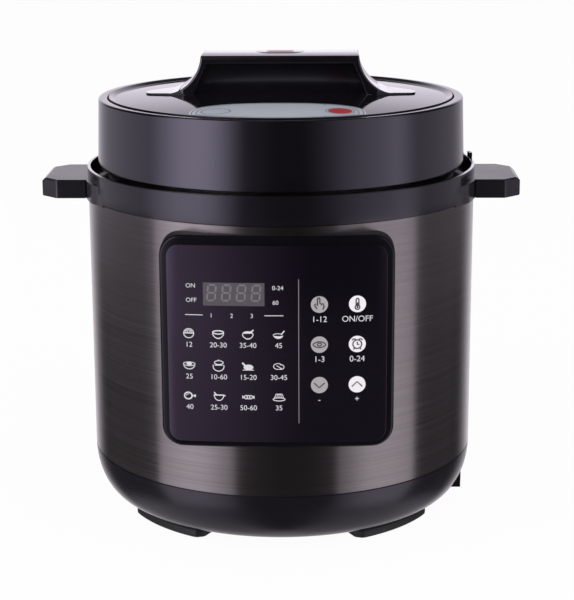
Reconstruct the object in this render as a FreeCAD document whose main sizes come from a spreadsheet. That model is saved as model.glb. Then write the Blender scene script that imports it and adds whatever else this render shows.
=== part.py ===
import FreeCAD, Part
import math
import os
import Sketcher

# Electric pressure cooker, millimetres, +Z up, front towards -Y.
# The origin lies on the pot's axis, on the surface that the feet stand on.

doc = FreeCAD.newDocument("pressure_cooker")
sheet = doc.addObject("Spreadsheet::Sheet", "Sizes")

SIZES = {
    # Feet and base
    "foot_height": 7.0,
    "foot_depth": 21.0,
    "foot_overhang": 3.5,
    "foot_angle": 45.5,
    "foot_span": 37.0,
    "foot_corner": 5.0,
    "base_height": 37.0,
    "base_wall": 2.6,
    "base_floor_setback": 23.0,
    "spigot_height": 6.0,
    "vent_reach": 80.0,
    "vent_length": 26.0,
    "vent_width": 5.0,
    "vent_count": 10,
    # Power inlet in the base's right side
    "inlet_setback": 6.0,
    "inlet_width": 27.0,
    "inlet_height": 20.0,
    "inlet_depth": 21.0,
    "inlet_border": 4.0,
    "inlet_proud": 0.5,
    "socket_depth": 16.0,
    "socket_wall": 1.8,
    "socket_key": 5.0,
    "pin_pitch": 7.0,
    "pin_stagger": 2.0,
    "pin_width": 2.0,
    "pin_height": 4.0,
    "pin_length": 11.0,
    # Steel shell
    "shell_radius": 138.0,
    "shell_wall": 0.8,
    "shell_height": 185.0,
    "fit_gap": 0.3,
    # Collar with its drip gutter
    "collar_height": 19.7,
    "collar_wall": 2.2,
    "collar_lip": 0.4,
    "collar_step": 2.0,
    "gutter_floor": 2.5,
    "collar_spigot": 7.0,
    "collar_spigot_wall": 2.0,
    "collar_crest": 0.7,
    "stop_angle": 5.0,
    "stop_span": 2.6,
    "stop_depth": 3.4,
    "stop_rise": 4.0,
    # Side handles
    "grip_reach": 31.0,
    "grip_width": 64.0,
    "grip_height": 13.2,
    "grip_drop": 1.4,
    "grip_corner": 8.9,
    "grip_bevel": 2.6,
    "grip_wall": 3.0,
    "grip_web": 3.0,
    "saddle_span": 59.0,
    "saddle_depth": 2.0,
    # Control panel
    "panel_drop": 7.6,
    "panel_width": 158.0,
    "panel_height": 142.0,
    "panel_corner": 14.0,
    "panel_proud": 2.0,
    "panel_bend": 550.0,
    "film_width": 144.0,
    "film_height": 135.0,
    "film_corner": 9.0,
    "film_thickness": 1.0,
    "plug_width": 119.0,
    "plug_height": 117.0,
    "plug_depth": 12.0,
    "plug_wall": 3.0,
    "plug_front": 5.5,
    "window_gap": 0.5,
    "board_thickness": 1.6,
    "board_gap": 1.5,
    "display_width": 44.0,
    "display_height": 19.0,
    "display_depth": 3.5,
    "display_shift": 31.0,
    "display_rise": 35.0,
    # Outer pot, hung on the gutter floor
    "well_setback": 24.0,
    "well_wall": 1.5,
    "well_lift": 57.0,
    "well_corner": 10.0,
    "well_hole": 14.0,
    "well_gap": 0.7,
    "seat_reach": 5.5,
    "seat_thickness": 1.5,
    "lug_rise": 7.5,
    "lug_thickness": 2.5,
    "lug_root": 1.5,
    "lug_reach": 3.5,
    "lug_span": 24.0,
    "lug_count": 6,
    # Heat shield and tie rods
    "shield_gap": 7.5,
    "shield_wall": 0.5,
    "shield_flange": 7.0,
    "rod_radius": 3.0,
    "rod_setback": 20.0,
    "rod_angle": 30.0,
    "rod_count": 3,
    # Heating plate and its temperature sensor
    "heater_gap": 14.0,
    "heater_thickness": 13.0,
    "heater_lift": 10.5,
    "heater_chamfer": 3.0,
    "element_inner": 46.0,
    "element_width": 14.0,
    "element_depth": 5.0,
    "post_radius": 6.0,
    "post_setback": 14.0,
    "post_count": 3,
    "sensor_radius": 11.0,
    "sensor_gap": 1.0,
    "sensor_height": 6.0,
    "stem_radius": 4.0,
    "stem_length": 25.0,
    "slide_gap": 0.05,
    "sleeve_wall": 3.0,
    "sleeve_height": 18.0,
    "holder_reach": 6.0,
    "holder_thickness": 2.0,
    # Inner pot
    "pot_gap": 2.5,
    "pot_wall": 1.2,
    "pot_corner": 13.5,
    "rim_gap": 0.5,
    "rim_thickness": 1.5,
    # Sealing ring and its rack
    "ring_height": 12.5,
    "ring_width": 10.0,
    "ring_lip": 2.0,
    "ring_back": 5.0,
    "ring_gap": 0.6,
    "rack_gap": 0.8,
    "rack_wire": 1.2,
    "rack_drop": 7.0,
    "rack_posts": 6,
    # Pressure plate of the lid
    "plate_wall": 1.5,
    "plate_corner": 1.2,
    "skirt_gap": 1.5,
    "skirt_lift": 3.0,
    "lid_lug_gap": 0.5,
    "lid_lug_thickness": 3.0,
    # Lid shell and its top cover
    "lid_setback": 8.8,
    "lid_gap": 0.9,
    "lid_height": 46.9,
    "lid_draft": 1.4,
    "lid_wall": 2.4,
    "lid_edge": 4.0,
    "lid_rim": 6.6,
    "deck_depth": 6.0,
    "deck_thickness": 2.5,
    "boss_radius": 4.5,
    "boss_circle": 80.0,
    "boss_angle": 45.0,
    "boss_count": 4,
    "cover_groove": 0.7,
    "cover_edge": 4.7,
    "cover_rise": 5.8,
    "cover_wall": 2.2,
    # Bridge handle
    "bridge_height": 26.1,
    "bridge_foot": 84.0,
    "bridge_flank": 28.6,
    "bridge_width": 40.0,
    "bridge_round": 2.5,
    "bridge_lean": 3.0,
    "bridge_crown": 1.1,
    "saddle_thickness": 1.2,
    "tongue_reach": 96.0,
    "tongue_width": 18.0,
    "tongue_round": 13.0,
    "tongue_root": 68.0,
    "web_width": 20.0,
    "grasp_length": 102.0,
    "grasp_draft": 14.3,
    "strap_thickness": 6.7,
    "arch_length": 100.0,
    "arch_depth": 2.5,
    "arch_drop": 11.1,
    "arch_shoulder": 13.0,
    "arch_crown": 275.0,
    "arch_crown_length": 74.0,
    # Release button, lever and exhaust valve
    "button_length": 32.5,
    "button_width": 18.0,
    "button_thickness": 3.2,
    "button_proud": 0.1,
    "button_travel": 3.5,
    "button_gap": 0.3,
    "button_stem": 3.5,
    "tip_radius": 2.0,
    "tip_length": 4.0,
    "bore_gap": 0.5,
    "lever_gap": 0.4,
    "lever_drop": 4.5,
    "lever_thickness": 3.0,
    "lever_width": 17.0,
    "lever_nose": 5.0,
    "lever_tail": 2.0,
    "lever_pivot": 38.0,
    "pivot_boss": 4.0,
    "fork_gap": 0.6,
    "pin_radius": 1.5,
    "ear_gap": 0.5,
    "ear_wall": 2.5,
    "ear_width": 10.0,
    "ear_margin": 1.0,
    "bracket_base": 2.0,
    "valve_setback": 14.0,
    "valve_radius": 8.0,
    "valve_neck": 5.0,
    "valve_flange": 9.0,
    "valve_flange_height": 2.7,
    "valve_room": 1.1,
    "valve_gap": 0.4,
    "nozzle_radius": 4.0,
    "nozzle_bore": 1.5,
    "nozzle_height": 10.5,
    "nozzle_flange": 8.0,
    "nozzle_base": 2.0,
    "skirt_depth": 4.4,
    "strainer_radius": 10.0,
    "strainer_height": 11.0,
    "strainer_wall": 1.0,
    "strainer_slot": 2.4,
    "strainer_slots": 8,
    "vent_radius": 14.0,
    "vent_height": 6.0,
    "vent_wall": 2.4,
    "vent_slot": 2.4,
    "vent_pitch": 5.5,
    "port_gap": 1.0,
    "lever_port_gap": 6.0,
    # Float valve
    "float_shift": 38.0,
    "float_setback": 21.0,
    "float_radius": 2.5,
    "float_gap": 0.7,
    "float_flange": 5.0,
    "float_flange_height": 2.0,
    "float_drop": 9.0,
    "float_top": 1.0,
    "gasket_radius": 5.5,
    "gasket_height": 2.5,
    "gasket_rise": 1.0,
}


class Size:
    """A length with the sheet formula that gives it, so both follow one sum."""

    def __init__(self, value, text=None):
        self.value = float(value)
        self.text = text or "%.6f" % value

    def __add__(self, other):
        other = as_size(other)
        return Size(self.value + other.value, "(%s + %s)" % (self.text, other.text))

    def __sub__(self, other):
        other = as_size(other)
        return Size(self.value - other.value, "(%s - %s)" % (self.text, other.text))

    def __mul__(self, other):
        other = as_size(other)
        return Size(self.value * other.value, "(%s * %s)" % (self.text, other.text))

    def __truediv__(self, other):
        other = as_size(other)
        return Size(self.value / other.value, "(%s / %s)" % (self.text, other.text))

    def __radd__(self, other):
        return as_size(other) + self

    def __rsub__(self, other):
        return as_size(other) - self

    def __rmul__(self, other):
        return as_size(other) * self

    def __rtruediv__(self, other):
        return as_size(other) / self

    def __neg__(self):
        return Size(-self.value, "(0 - %s)" % self.text)


def as_size(number):
    return number if isinstance(number, Size) else Size(number)


def root(size):
    return Size(math.sqrt(size.value), "sqrt(%s)" % size.text)


def cos(angle):
    angle = as_size(angle)
    return Size(math.cos(math.radians(angle.value)), "cos(%s)" % angle.text)


def sin(angle):
    angle = as_size(angle)
    return Size(math.sin(math.radians(angle.value)), "sin(%s)" % angle.text)


class Sizes:
    """The driving sizes, one sheet row each, read by name."""

    def __init__(self, table):
        for row, (name, value) in enumerate(table.items(), 1):
            sheet.set("A%d" % row, name)
            sheet.set("B%d" % row, str(value))
            sheet.setAlias("B%d" % row, name)
            setattr(self, name, Size(value, "Sizes." + name))


d = Sizes(SIZES)
doc.recompute()


# Sketches and features

class Arc:
    """A corner that an arc leaves for the next corner; turn +1 bends left."""

    def __init__(self, x, y, radius, turn):
        self.x, self.y = x, y
        self.radius, self.turn = as_size(radius), turn


def origin_item(body, role):
    return [item for item in body.Origin.OriginFeatures if item.Role == role][0]


def make_body(name):
    body = doc.addObject("PartDesign::Body", name)
    body.Label = name
    return body


def place(body, x=None, y=None):
    if x is not None:
        body.setExpression("Placement.Base.x", x.text)
    if y is not None:
        body.setExpression("Placement.Base.y", y.text)


def make_sketch(body, plane, offset=None):
    sketch = body.newObject("Sketcher::SketchObject", body.Name + "_sketch")
    sketch.AttachmentSupport = [(origin_item(body, plane + "_Plane"), "")]
    sketch.MapMode = "FlatFace"
    if offset is not None:
        sketch.setExpression("AttachmentOffset.Base.z", as_size(offset).text)
    return sketch


def pin_point(sketch, geometry, position, x, y):
    for kind, axis, size in (("DistanceX", -2, as_size(x)), ("DistanceY", -1, as_size(y))):
        if size.text == "0.000000":
            sketch.addConstraint(Sketcher.Constraint("PointOnObject", geometry, position, axis))
        else:
            rule = Sketcher.Constraint(kind, -1, 1, geometry, position, size.value)
            bind(sketch, sketch.addConstraint(rule), size)


def bind(sketch, index, size):
    sketch.setExpression("Constraints[%d]" % index, size.text)


def arc_edge(start, end, radius, turn):
    chord = end - start
    half = chord.Length / 2
    rise = math.sqrt(max(radius * radius - half * half, 0.0))
    left = FreeCAD.Vector(-chord.y, chord.x, 0).normalize()
    centre = (start + end) / 2 + left * rise * turn
    first, last = (start, end) if turn > 0 else (end, start)
    angles = [math.atan2(p.y - centre.y, p.x - centre.x) for p in (first, last)]
    circle = Part.Circle(centre, FreeCAD.Vector(0, 0, 1), radius)
    return Part.ArcOfCircle(circle, angles[0], angles[1])


def add_loop(sketch, corners):
    corners = [c if isinstance(c, Arc) else Arc(c[0], c[1], 0, 0) for c in corners]
    points = [FreeCAD.Vector(as_size(c.x).value, as_size(c.y).value, 0) for c in corners]
    ends = []
    for i, corner in enumerate(corners):
        start, end = points[i], points[(i + 1) % len(points)]
        if corner.turn:
            edge = arc_edge(start, end, corner.radius.value, corner.turn)
        else:
            edge = Part.LineSegment(start, end)
        index = sketch.addGeometry(edge)
        ends.append((index, 2, 1) if corner.turn < 0 else (index, 1, 2))
    for i, corner in enumerate(corners):
        index, first, last = ends[i]
        after = ends[(i + 1) % len(ends)]
        sketch.addConstraint(Sketcher.Constraint("Coincident", index, last, after[0], after[1]))
        pin_point(sketch, index, first, corner.x, corner.y)
        if corner.turn:
            rule = Sketcher.Constraint("Radius", index, corner.radius.value)
            bind(sketch, sketch.addConstraint(rule), corner.radius)


def add_circle(sketch, x, y, radius):
    centre = FreeCAD.Vector(as_size(x).value, as_size(y).value, 0)
    circle = Part.Circle(centre, FreeCAD.Vector(0, 0, 1), as_size(radius).value)
    index = sketch.addGeometry(circle)
    pin_point(sketch, index, 3, x, y)
    rule = Sketcher.Constraint("Radius", index, as_size(radius).value)
    bind(sketch, sketch.addConstraint(rule), as_size(radius))


def rectangle(left, bottom, right, top):
    return [(left, bottom), (right, bottom), (right, top), (left, top)]


def rounded(left, bottom, right, top, radius):
    return [
        (left + radius, bottom), Arc(right - radius, bottom, radius, 1),
        (right, bottom + radius), Arc(right, top - radius, radius, 1),
        (right - radius, top), Arc(left + radius, top, radius, 1),
        (left, top - radius), Arc(left, bottom + radius, radius, 1),
    ]


def chords(r, z, across, tall, start, end, steps):
    """Corners along a quarter of an ellipse about a middle, joined by straight runs."""
    angles = [start + (end - start) * step / steps for step in range(steps + 1)]
    return [(r + across * cos(angle), z + tall * sin(angle)) for angle in angles]


def sector(inner, outer, start, end):
    return [
        (inner * cos(start), inner * sin(start)),
        Arc(outer * cos(start), outer * sin(start), outer, 1),
        (outer * cos(end), outer * sin(end)),
        Arc(inner * cos(end), inner * sin(end), inner, -1),
    ]


def feature(body, kind, sketch):
    item = body.newObject("PartDesign::" + kind, body.Name + "_" + kind.lower())
    item.Profile = sketch
    return item


def pad(body, sketch, length, side="One side", down=False):
    item = feature(body, "Pad", sketch)
    item.SideType = side
    item.Reversed = down
    item.setExpression("Length", as_size(length).text)
    return item


def pocket(body, sketch, length=None, side="One side", ahead=False):
    item = feature(body, "Pocket", sketch)
    item.SideType = side
    item.Reversed = ahead
    if length is None:
        item.Type = "ThroughAll"
    else:
        item.setExpression("Length", as_size(length).text)
    return item


def turn(body, corners, kind="Revolution", span=None):
    sketch = make_sketch(body, "XZ")
    add_loop(sketch, corners)
    item = feature(body, kind, sketch)
    item.ReferenceAxis = (sketch, ["V_Axis"])
    if span is not None:
        item.Midplane = True
        item.setExpression("Angle", span.text)
    return item


def polar(body, original, count, kind="Z_Axis"):
    item = body.newObject("PartDesign::PolarPattern", body.Name + "_polar")
    item.Originals = [original]
    item.Axis = (origin_item(body, kind), [""])
    item.Angle = 360
    item.setExpression("Occurrences", count.text)
    body.Tip = item
    return item


def mirror(body, originals, plane):
    item = body.newObject("PartDesign::Mirrored", body.Name + "_mirror")
    item.Originals = originals
    item.MirrorPlane = (origin_item(body, plane + "_Plane"), [""])
    body.Tip = item
    return item


# Levels and radii that several pieces share

base_bottom = d.foot_height
base_inside = base_bottom + d.base_wall
shell_bottom = base_bottom + d.base_height
collar_bottom = shell_bottom + d.shell_height
collar_rim = collar_bottom + d.collar_height
gutter_under = collar_bottom + d.collar_step
gutter_top = gutter_under + d.gutter_floor
spigot_radius = d.shell_radius - d.shell_wall - d.fit_gap
base_floor_radius = d.shell_radius - d.base_floor_setback
collar_radius = d.shell_radius + d.collar_lip
collar_inner = collar_radius - d.collar_wall
panel_middle = collar_bottom - d.panel_drop - d.panel_height / 2

well_radius = d.shell_radius - d.well_setback
well_outer = well_radius + d.well_wall
well_bottom = base_bottom + d.well_lift
well_inside = well_bottom + d.well_wall
lug_root_radius = well_outer + d.lug_root
lug_radius = lug_root_radius + d.lug_reach
lug_under = gutter_top + d.lug_rise
lug_top = lug_under + d.lug_thickness
shield_radius = well_outer + d.shield_gap

heater_top = well_inside + d.heater_lift + d.heater_thickness
heater_under = well_inside + d.heater_lift
heater_radius = well_radius - d.heater_gap
heater_hole = d.sensor_radius + d.sensor_gap
sensor_under = heater_top - d.sensor_height
sleeve_radius = d.stem_radius + d.slide_gap

pot_radius = well_radius - d.pot_gap
pot_inner = pot_radius - d.pot_wall
rim_under = lug_top + d.rim_gap
rim_top = rim_under + d.rim_thickness

skirt_inner = lug_radius + d.skirt_gap
skirt_outer = skirt_inner + d.plate_wall
skirt_under = gutter_top + d.skirt_lift
lid_lug_radius = lug_root_radius + d.lid_lug_gap
plate_under = rim_top + d.ring_height
plate_top = plate_under + d.plate_wall
ring_outer = skirt_inner - d.ring_gap
ring_inner = ring_outer - d.ring_width
rack_radius = ring_inner - d.rack_gap - d.rack_wire

lid_radius = d.shell_radius - d.lid_setback
lid_under = collar_rim + d.lid_gap
lid_top = lid_under + d.lid_height
lid_rim_inner = lid_radius - d.lid_rim
deck_top = lid_top - d.deck_depth
deck_under = deck_top - d.deck_thickness
cover_radius = lid_rim_inner - d.cover_groove
cover_edge = deck_top + d.cover_edge
cover_top = cover_edge + d.cover_rise
dome = (cover_radius * cover_radius + d.cover_rise * d.cover_rise) / (2 * d.cover_rise)

valve_y = rack_radius - d.valve_setback
float_x = -d.float_shift
float_y = rack_radius - d.float_setback
lever_top = deck_under - d.lever_drop
lever_under = lever_top - d.lever_thickness
lever_axis = lever_top - d.lever_thickness / 2
bridge_top = cover_top + d.bridge_height
port_radius = d.button_stem + d.bore_gap
float_port = d.float_radius + d.float_gap


def dome_height(radius):
    """Height of the top cover's dome at a radius."""
    return cover_top - dome + root(dome * dome - radius * radius)


def dome_profile(lift):
    """Corners from the cover's edge up its dome to the middle, or of a layer above it."""
    rings = [cover_radius, cover_radius * 2 / 3, cover_radius / 3]
    heights = [dome_height(ring) + lift for ring in rings]
    return list(zip(rings, heights)) + [(0, heights[-1])]


def dome_groove(body):
    """Cuts a body away below the top cover's dome."""
    turn(body, [(0, deck_under), (cover_radius, deck_under)] + dome_profile(0), "Groove")


# Base pan: a bowl with vent slots, a spigot inside the shell and a boss for the inlet

def base_pan():
    body = make_body("base_pan")
    wide = d.base_floor_setback
    tall = d.base_height
    wall = d.base_wall
    spigot_top = shell_bottom + d.spigot_height
    outside = chords(base_floor_radius, shell_bottom, wide, tall, -90, 0, 4)
    inside = chords(base_floor_radius, shell_bottom, wide - wall, tall - wall, 0, -90, 1)
    turn(body, [(0, base_bottom)] + outside + [
        (spigot_radius, shell_bottom), (spigot_radius, spigot_top),
        (d.shell_radius - wall, spigot_top),
    ] + inside + [(0, base_inside)])
    face = d.shell_radius - d.inlet_setback
    half = d.inlet_width / 2 + d.inlet_border
    boss_top = base_bottom + d.inlet_height + 2 * d.inlet_border
    boss = make_sketch(body, "YZ", face - d.inlet_depth)
    add_loop(boss, rectangle(-half, base_bottom, half, boss_top))
    pad(body, boss, d.inlet_depth)
    landing = make_sketch(body, "YZ", face)
    add_loop(landing, rectangle(-half, base_bottom + d.inlet_border / 2, half, boss_top))
    pocket(body, landing, d.inlet_depth, ahead=True)
    seat = make_sketch(body, "YZ", face)
    add_loop(seat, inlet_outline())
    pocket(body, seat, 2 * d.inlet_depth)
    slot = make_sketch(body, "XY", base_inside)
    half_slot = d.vent_width / 2
    inner = d.vent_reach - d.vent_length
    add_loop(slot, rectangle(inner, -half_slot, d.vent_reach, half_slot))
    polar(body, pocket(body, slot, 2 * d.base_wall), d.vent_count)
    return body


def inlet_outline():
    half = d.inlet_width / 2
    low = base_bottom + d.inlet_border
    return rectangle(-half, low, half, low + d.inlet_height)


# Four arc-shaped rubber feet under the base

def rubber_feet():
    body = make_body("rubber_feet")
    sketch = make_sketch(body, "XY")
    outer = base_floor_radius + d.foot_overhang
    inner = outer - d.foot_depth
    for middle in (d.foot_angle - 90, 90 - d.foot_angle, d.foot_angle + 90, 270 - d.foot_angle):
        add_loop(sketch, sector(inner, outer, middle - d.foot_span / 2, middle + d.foot_span / 2))
    block = pad(body, sketch, d.foot_height)
    doc.recompute()
    upright = []
    for number, edge in enumerate(block.Shape.Edges, 1):
        if edge.BoundBox.ZLength > d.foot_height.value / 2:
            upright.append("Edge%d" % number)
    rounds = body.newObject("PartDesign::Chamfer", "rubber_feet_chamfer")
    rounds.Base = (block, upright)
    rounds.setExpression("Size", d.foot_corner.text)
    return body


# Power inlet: a keyed three-pole socket that faces out of the right side

def power_inlet():
    body = make_body("power_inlet")
    face = d.shell_radius - d.inlet_setback
    block = make_sketch(body, "YZ", face - d.inlet_depth)
    add_loop(block, inlet_outline())
    pad(body, block, d.inlet_depth + d.inlet_proud)
    half = d.inlet_width / 2 - d.socket_wall
    low = base_bottom + d.inlet_border + d.socket_wall
    high = low + d.inlet_height - 2 * d.socket_wall
    mouth = make_sketch(body, "YZ", face + d.inlet_proud)
    add_loop(mouth, [
        (-half, low), (half, low), (half, high - d.socket_key), (half - d.socket_key, high),
        (d.socket_key - half, high), (-half, high - d.socket_key),
    ])
    pocket(body, mouth, d.socket_depth)
    return body


def inlet_pins():
    body = make_body("inlet_pins")
    floor = d.shell_radius - d.inlet_setback + d.inlet_proud - d.socket_depth
    middle = base_bottom + d.inlet_border + d.inlet_height / 2
    sketch = make_sketch(body, "YZ", floor)
    for step, rise in ((-1, -1), (0, 1), (1, -1)):
        y = d.pin_pitch * step
        z = middle + d.pin_stagger * rise
        add_loop(sketch, rectangle(
            y - d.pin_width / 2, z - d.pin_height / 2, y + d.pin_width / 2, z + d.pin_height / 2))
    pad(body, sketch, d.pin_length)
    return body


# Steel shell: a straight drum with a window behind the control panel

def steel_shell():
    body = make_body("steel_shell")
    inside = d.shell_radius - d.shell_wall
    turn(body, rectangle(inside, shell_bottom, d.shell_radius, collar_bottom))
    half = d.plug_width / 2 + d.window_gap
    tall = d.plug_height / 2 + d.window_gap
    sketch = make_sketch(body, "XZ")
    add_loop(sketch, rectangle(-half, panel_middle - tall, half, panel_middle + tall))
    pocket(body, sketch, ahead=True)
    return body

# Collar: the moulded ring with the drip gutter and a lid stop on its rim

def collar_ring():
    body = make_body("collar_ring")
    crest = d.collar_crest
    spigot_inner = spigot_radius - d.collar_spigot_wall
    turn(body, [
        (spigot_inner, collar_bottom - d.collar_spigot),
        (spigot_radius, collar_bottom - d.collar_spigot),
        (spigot_radius, collar_bottom), (collar_radius, collar_bottom),
        (collar_radius, collar_rim - crest), (collar_radius - crest, collar_rim),
        (collar_inner + crest, collar_rim), (collar_inner, collar_rim - crest),
        (collar_inner, gutter_top), (well_outer + d.well_gap, gutter_top),
        (well_outer + d.well_gap, gutter_under), (spigot_inner, gutter_under),
    ])
    stop = make_sketch(body, "XY", gutter_top)
    outer = collar_radius - d.collar_wall / 2
    add_loop(stop, sector(
        outer - d.stop_depth, outer, d.stop_angle - d.stop_span / 2, d.stop_angle + d.stop_span / 2))
    pad(body, stop, collar_rim + d.stop_rise - gutter_top)
    return body


# Side handles: flat grips with a hollow, ribbed underside on a saddle round the collar

def side_handle(name, hand):
    body = make_body(name)
    low = collar_bottom - d.grip_drop
    high = low + d.grip_height
    outer = collar_radius + d.grip_reach
    inner = collar_radius - d.collar_wall / 2
    turn(body, rectangle(
        hand * inner, low, hand * (collar_radius + d.saddle_depth), high), span=d.saddle_span)
    side = make_sketch(body, "XZ")
    add_loop(side, [
        (hand * inner, low), (hand * (outer - d.grip_bevel / 4), low),
        (hand * outer, low + d.grip_bevel / 4), (hand * outer, high - d.grip_bevel),
        (hand * (outer - d.grip_bevel), high), (hand * inner, high),
    ])
    pad(body, side, d.grip_width, "Symmetric")
    half = d.grip_width / 2
    corners = make_sketch(body, "XY", low)
    for way in (-1, 1):
        add_loop(corners, [
            (hand * (outer - d.grip_bevel - d.grip_corner), way * half),
            (hand * (outer + d.grip_bevel), way * (half - d.grip_corner - d.grip_bevel * 2)),
            (hand * (outer + d.grip_bevel), way * half),
        ])
    pocket(body, corners, 2 * d.grip_height, ahead=True)
    start = collar_radius + d.saddle_depth + d.grip_wall
    end = outer - d.grip_bevel - d.grip_wall
    hollow = make_sketch(body, "XY", low)
    for way in (-1, 1):
        add_loop(hollow, [
            (hand * start, way * d.grip_web / 2), (hand * end, way * d.grip_web / 2),
            (hand * end, way * (half - d.grip_corner - d.grip_wall)),
            (hand * (end - d.grip_corner), way * (half - d.grip_wall)),
            (hand * start, way * (half - d.grip_wall)),
        ])
    pocket(body, hollow, d.grip_height - d.grip_wall, ahead=True)
    turn(body, rectangle(as_size(0), low - d.grip_height, collar_radius, high + d.grip_height), "Groove")
    return body


# Control panel housing: a shallow bowed box with a plug through the shell's window

def front_cut(body, front, bend):
    """Trims a body in front of a bowed face whose middle stands at a distance from the axis."""
    half = d.panel_width
    edge = root(bend * bend - half * half)
    sketch = make_sketch(body, "XY", panel_middle)
    add_loop(sketch, [
        Arc(half, bend - front - edge, bend, -1),
        (-half, bend - front - edge), (-half, -front - half), (half, -front - half),
    ])
    pocket(body, sketch, 2 * d.panel_height, "Symmetric")


def panel_housing():
    body = make_body("panel_housing")
    front = d.shell_radius + d.panel_proud
    half = d.panel_width / 2
    tall = d.panel_height / 2
    block = make_sketch(body, "XZ", d.shell_radius / 2)
    add_loop(block, rounded(-half, panel_middle - tall, half, panel_middle + tall, d.panel_corner))
    pad(body, block, front - d.shell_radius / 2)
    front_cut(body, front, d.panel_bend)
    turn(body, rectangle(as_size(0), shell_bottom, d.shell_radius, collar_bottom), "Groove")
    plug = make_sketch(body, "XZ", d.shell_radius / 2)
    wide = d.plug_width / 2
    high = d.plug_height / 2
    add_loop(plug, rectangle(-wide, panel_middle - high, wide, panel_middle + high))
    pad(body, plug, d.shell_radius / 2 - d.plug_depth / 2)
    back = d.shell_radius - d.plug_depth
    turn(body, rectangle(as_size(0), shell_bottom, back, collar_bottom), "Groove")
    room = make_sketch(body, "XZ", d.shell_radius / 2)
    wide = wide - d.plug_wall
    high = high - d.plug_wall
    add_loop(room, rectangle(-wide, panel_middle - high, wide, panel_middle + high))
    pocket(body, room, front - d.plug_front - d.shell_radius / 2, ahead=True)
    return body


# Control film: the bowed black sheet on the panel's face

def control_film():
    body = make_body("control_film")
    front = d.shell_radius + d.panel_proud
    half = d.film_width / 2
    tall = d.film_height / 2
    block = make_sketch(body, "XZ", d.shell_radius / 2)
    add_loop(block, rounded(-half, panel_middle - tall, half, panel_middle + tall, d.film_corner))
    pad(body, block, d.shell_radius)
    front_cut(body, front + d.film_thickness, d.panel_bend + d.film_thickness)
    edge = root(d.panel_bend * d.panel_bend - d.panel_width * d.panel_width)
    behind = make_sketch(body, "XY", panel_middle)
    add_loop(behind, [
        Arc(-d.panel_width, d.panel_bend - front - edge, d.panel_bend, 1),
        (d.panel_width, d.panel_bend - front - edge), (d.panel_width, 0), (-d.panel_width, 0),
    ])
    pocket(body, behind, 2 * d.panel_height, "Symmetric")
    return body


# Control board with the display block behind the film

def control_board():
    body = make_body("control_board")
    room = d.shell_radius + d.panel_proud - d.plug_front
    half = d.plug_width / 2 - d.plug_wall - d.board_gap
    tall = d.plug_height / 2 - d.plug_wall - d.board_gap
    face = room - d.display_depth
    board = make_sketch(body, "XZ", face - d.board_thickness)
    add_loop(board, rectangle(-half, panel_middle - tall, half, panel_middle + tall))
    pad(body, board, d.board_thickness)
    block = make_sketch(body, "XZ", face)
    left = -d.display_shift - d.display_width / 2
    low = panel_middle + d.display_rise - d.display_height / 2
    add_loop(block, rectangle(left, low, left + d.display_width, low + d.display_height))
    pad(body, block, d.display_depth)
    return body


# Outer pot: the drawn well with its seat flange and the fixed bayonet lugs

def outer_pot():
    body = make_body("outer_pot")
    bevel = d.well_corner
    turn(body, [
        (d.well_hole, well_bottom),
        (well_outer - bevel, well_bottom), (well_outer, well_bottom + bevel),
        (well_outer, gutter_top), (well_outer + d.seat_reach, gutter_top),
        (well_outer + d.seat_reach, gutter_top + d.seat_thickness),
        (well_outer, gutter_top + d.seat_thickness), (well_outer, lug_under),
        (lug_root_radius, lug_under), (lug_root_radius, lug_top), (well_radius, lug_top),
        (well_radius, well_bottom + bevel), (well_outer - bevel, well_inside),
        (d.well_hole, well_inside),
    ])
    lug = make_sketch(body, "XY", lug_under)
    half = d.lug_span / 2
    add_loop(lug, sector(well_outer, lug_radius, -half, half))
    polar(body, pad(body, lug, d.lug_thickness), d.lug_count)
    return body


# Heat shield round the outer pot, hung under the gutter floor

def heat_shield():
    body = make_body("heat_shield")
    inside = shield_radius - d.shield_wall
    flange = shield_radius + d.shield_flange
    turn(body, [
        (inside, well_bottom), (shield_radius, well_bottom),
        (shield_radius, gutter_under - d.shield_wall), (flange, gutter_under - d.shield_wall),
        (flange, gutter_under), (inside, gutter_under),
    ])
    return body


# Tie rods between the base and the outer pot

def tie_rods():
    body = make_body("tie_rods")
    sketch = make_sketch(body, "XY", base_inside)
    circle = well_outer - d.rod_setback
    add_circle(sketch, circle * cos(d.rod_angle), circle * sin(d.rod_angle), d.rod_radius)
    polar(body, pad(body, sketch, well_bottom - base_inside), d.rod_count)
    return body


# Heating plate: a cast disc with its element ring and posts

def heating_plate():
    body = make_body("heating_plate")
    element_outer = d.element_inner + d.element_width
    turn(body, [
        (heater_hole, heater_under), (d.element_inner, heater_under),
        (d.element_inner, heater_under - d.element_depth), (element_outer, heater_under - d.element_depth),
        (element_outer, heater_under), (heater_radius, heater_under),
        (heater_radius, heater_top - d.heater_chamfer),
        (heater_radius - d.heater_chamfer, heater_top), (heater_hole, heater_top),
    ])
    post = make_sketch(body, "XY", well_inside)
    add_circle(post, heater_radius - d.post_setback, 0, d.post_radius)
    polar(body, pad(body, post, d.heater_lift + d.heater_thickness / 2), d.post_count)
    return body


# Temperature sensor: a sprung cap whose stem slides in a sleeve

def sensor_holder():
    body = make_body("sensor_holder")
    sleeve = sleeve_radius + d.sleeve_wall
    flange = d.well_hole + d.holder_reach
    top = well_inside + d.sleeve_height / 2
    turn(body, [
        (sleeve_radius, top - d.sleeve_height), (sleeve, top - d.sleeve_height), (sleeve, well_inside),
        (flange, well_inside), (flange, well_inside + d.holder_thickness),
        (sleeve, well_inside + d.holder_thickness), (sleeve, top), (sleeve_radius, top),
    ])
    return body


def sensor_cap():
    body = make_body("sensor_cap")
    turn(body, [
        (0, sensor_under - d.stem_length), (d.stem_radius, sensor_under - d.stem_length),
        (d.stem_radius, sensor_under), (d.sensor_radius, sensor_under),
        (d.sensor_radius, heater_top), (0, heater_top),
    ])
    return body


# Inner pot: a drawn bowl with a flat rim

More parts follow.
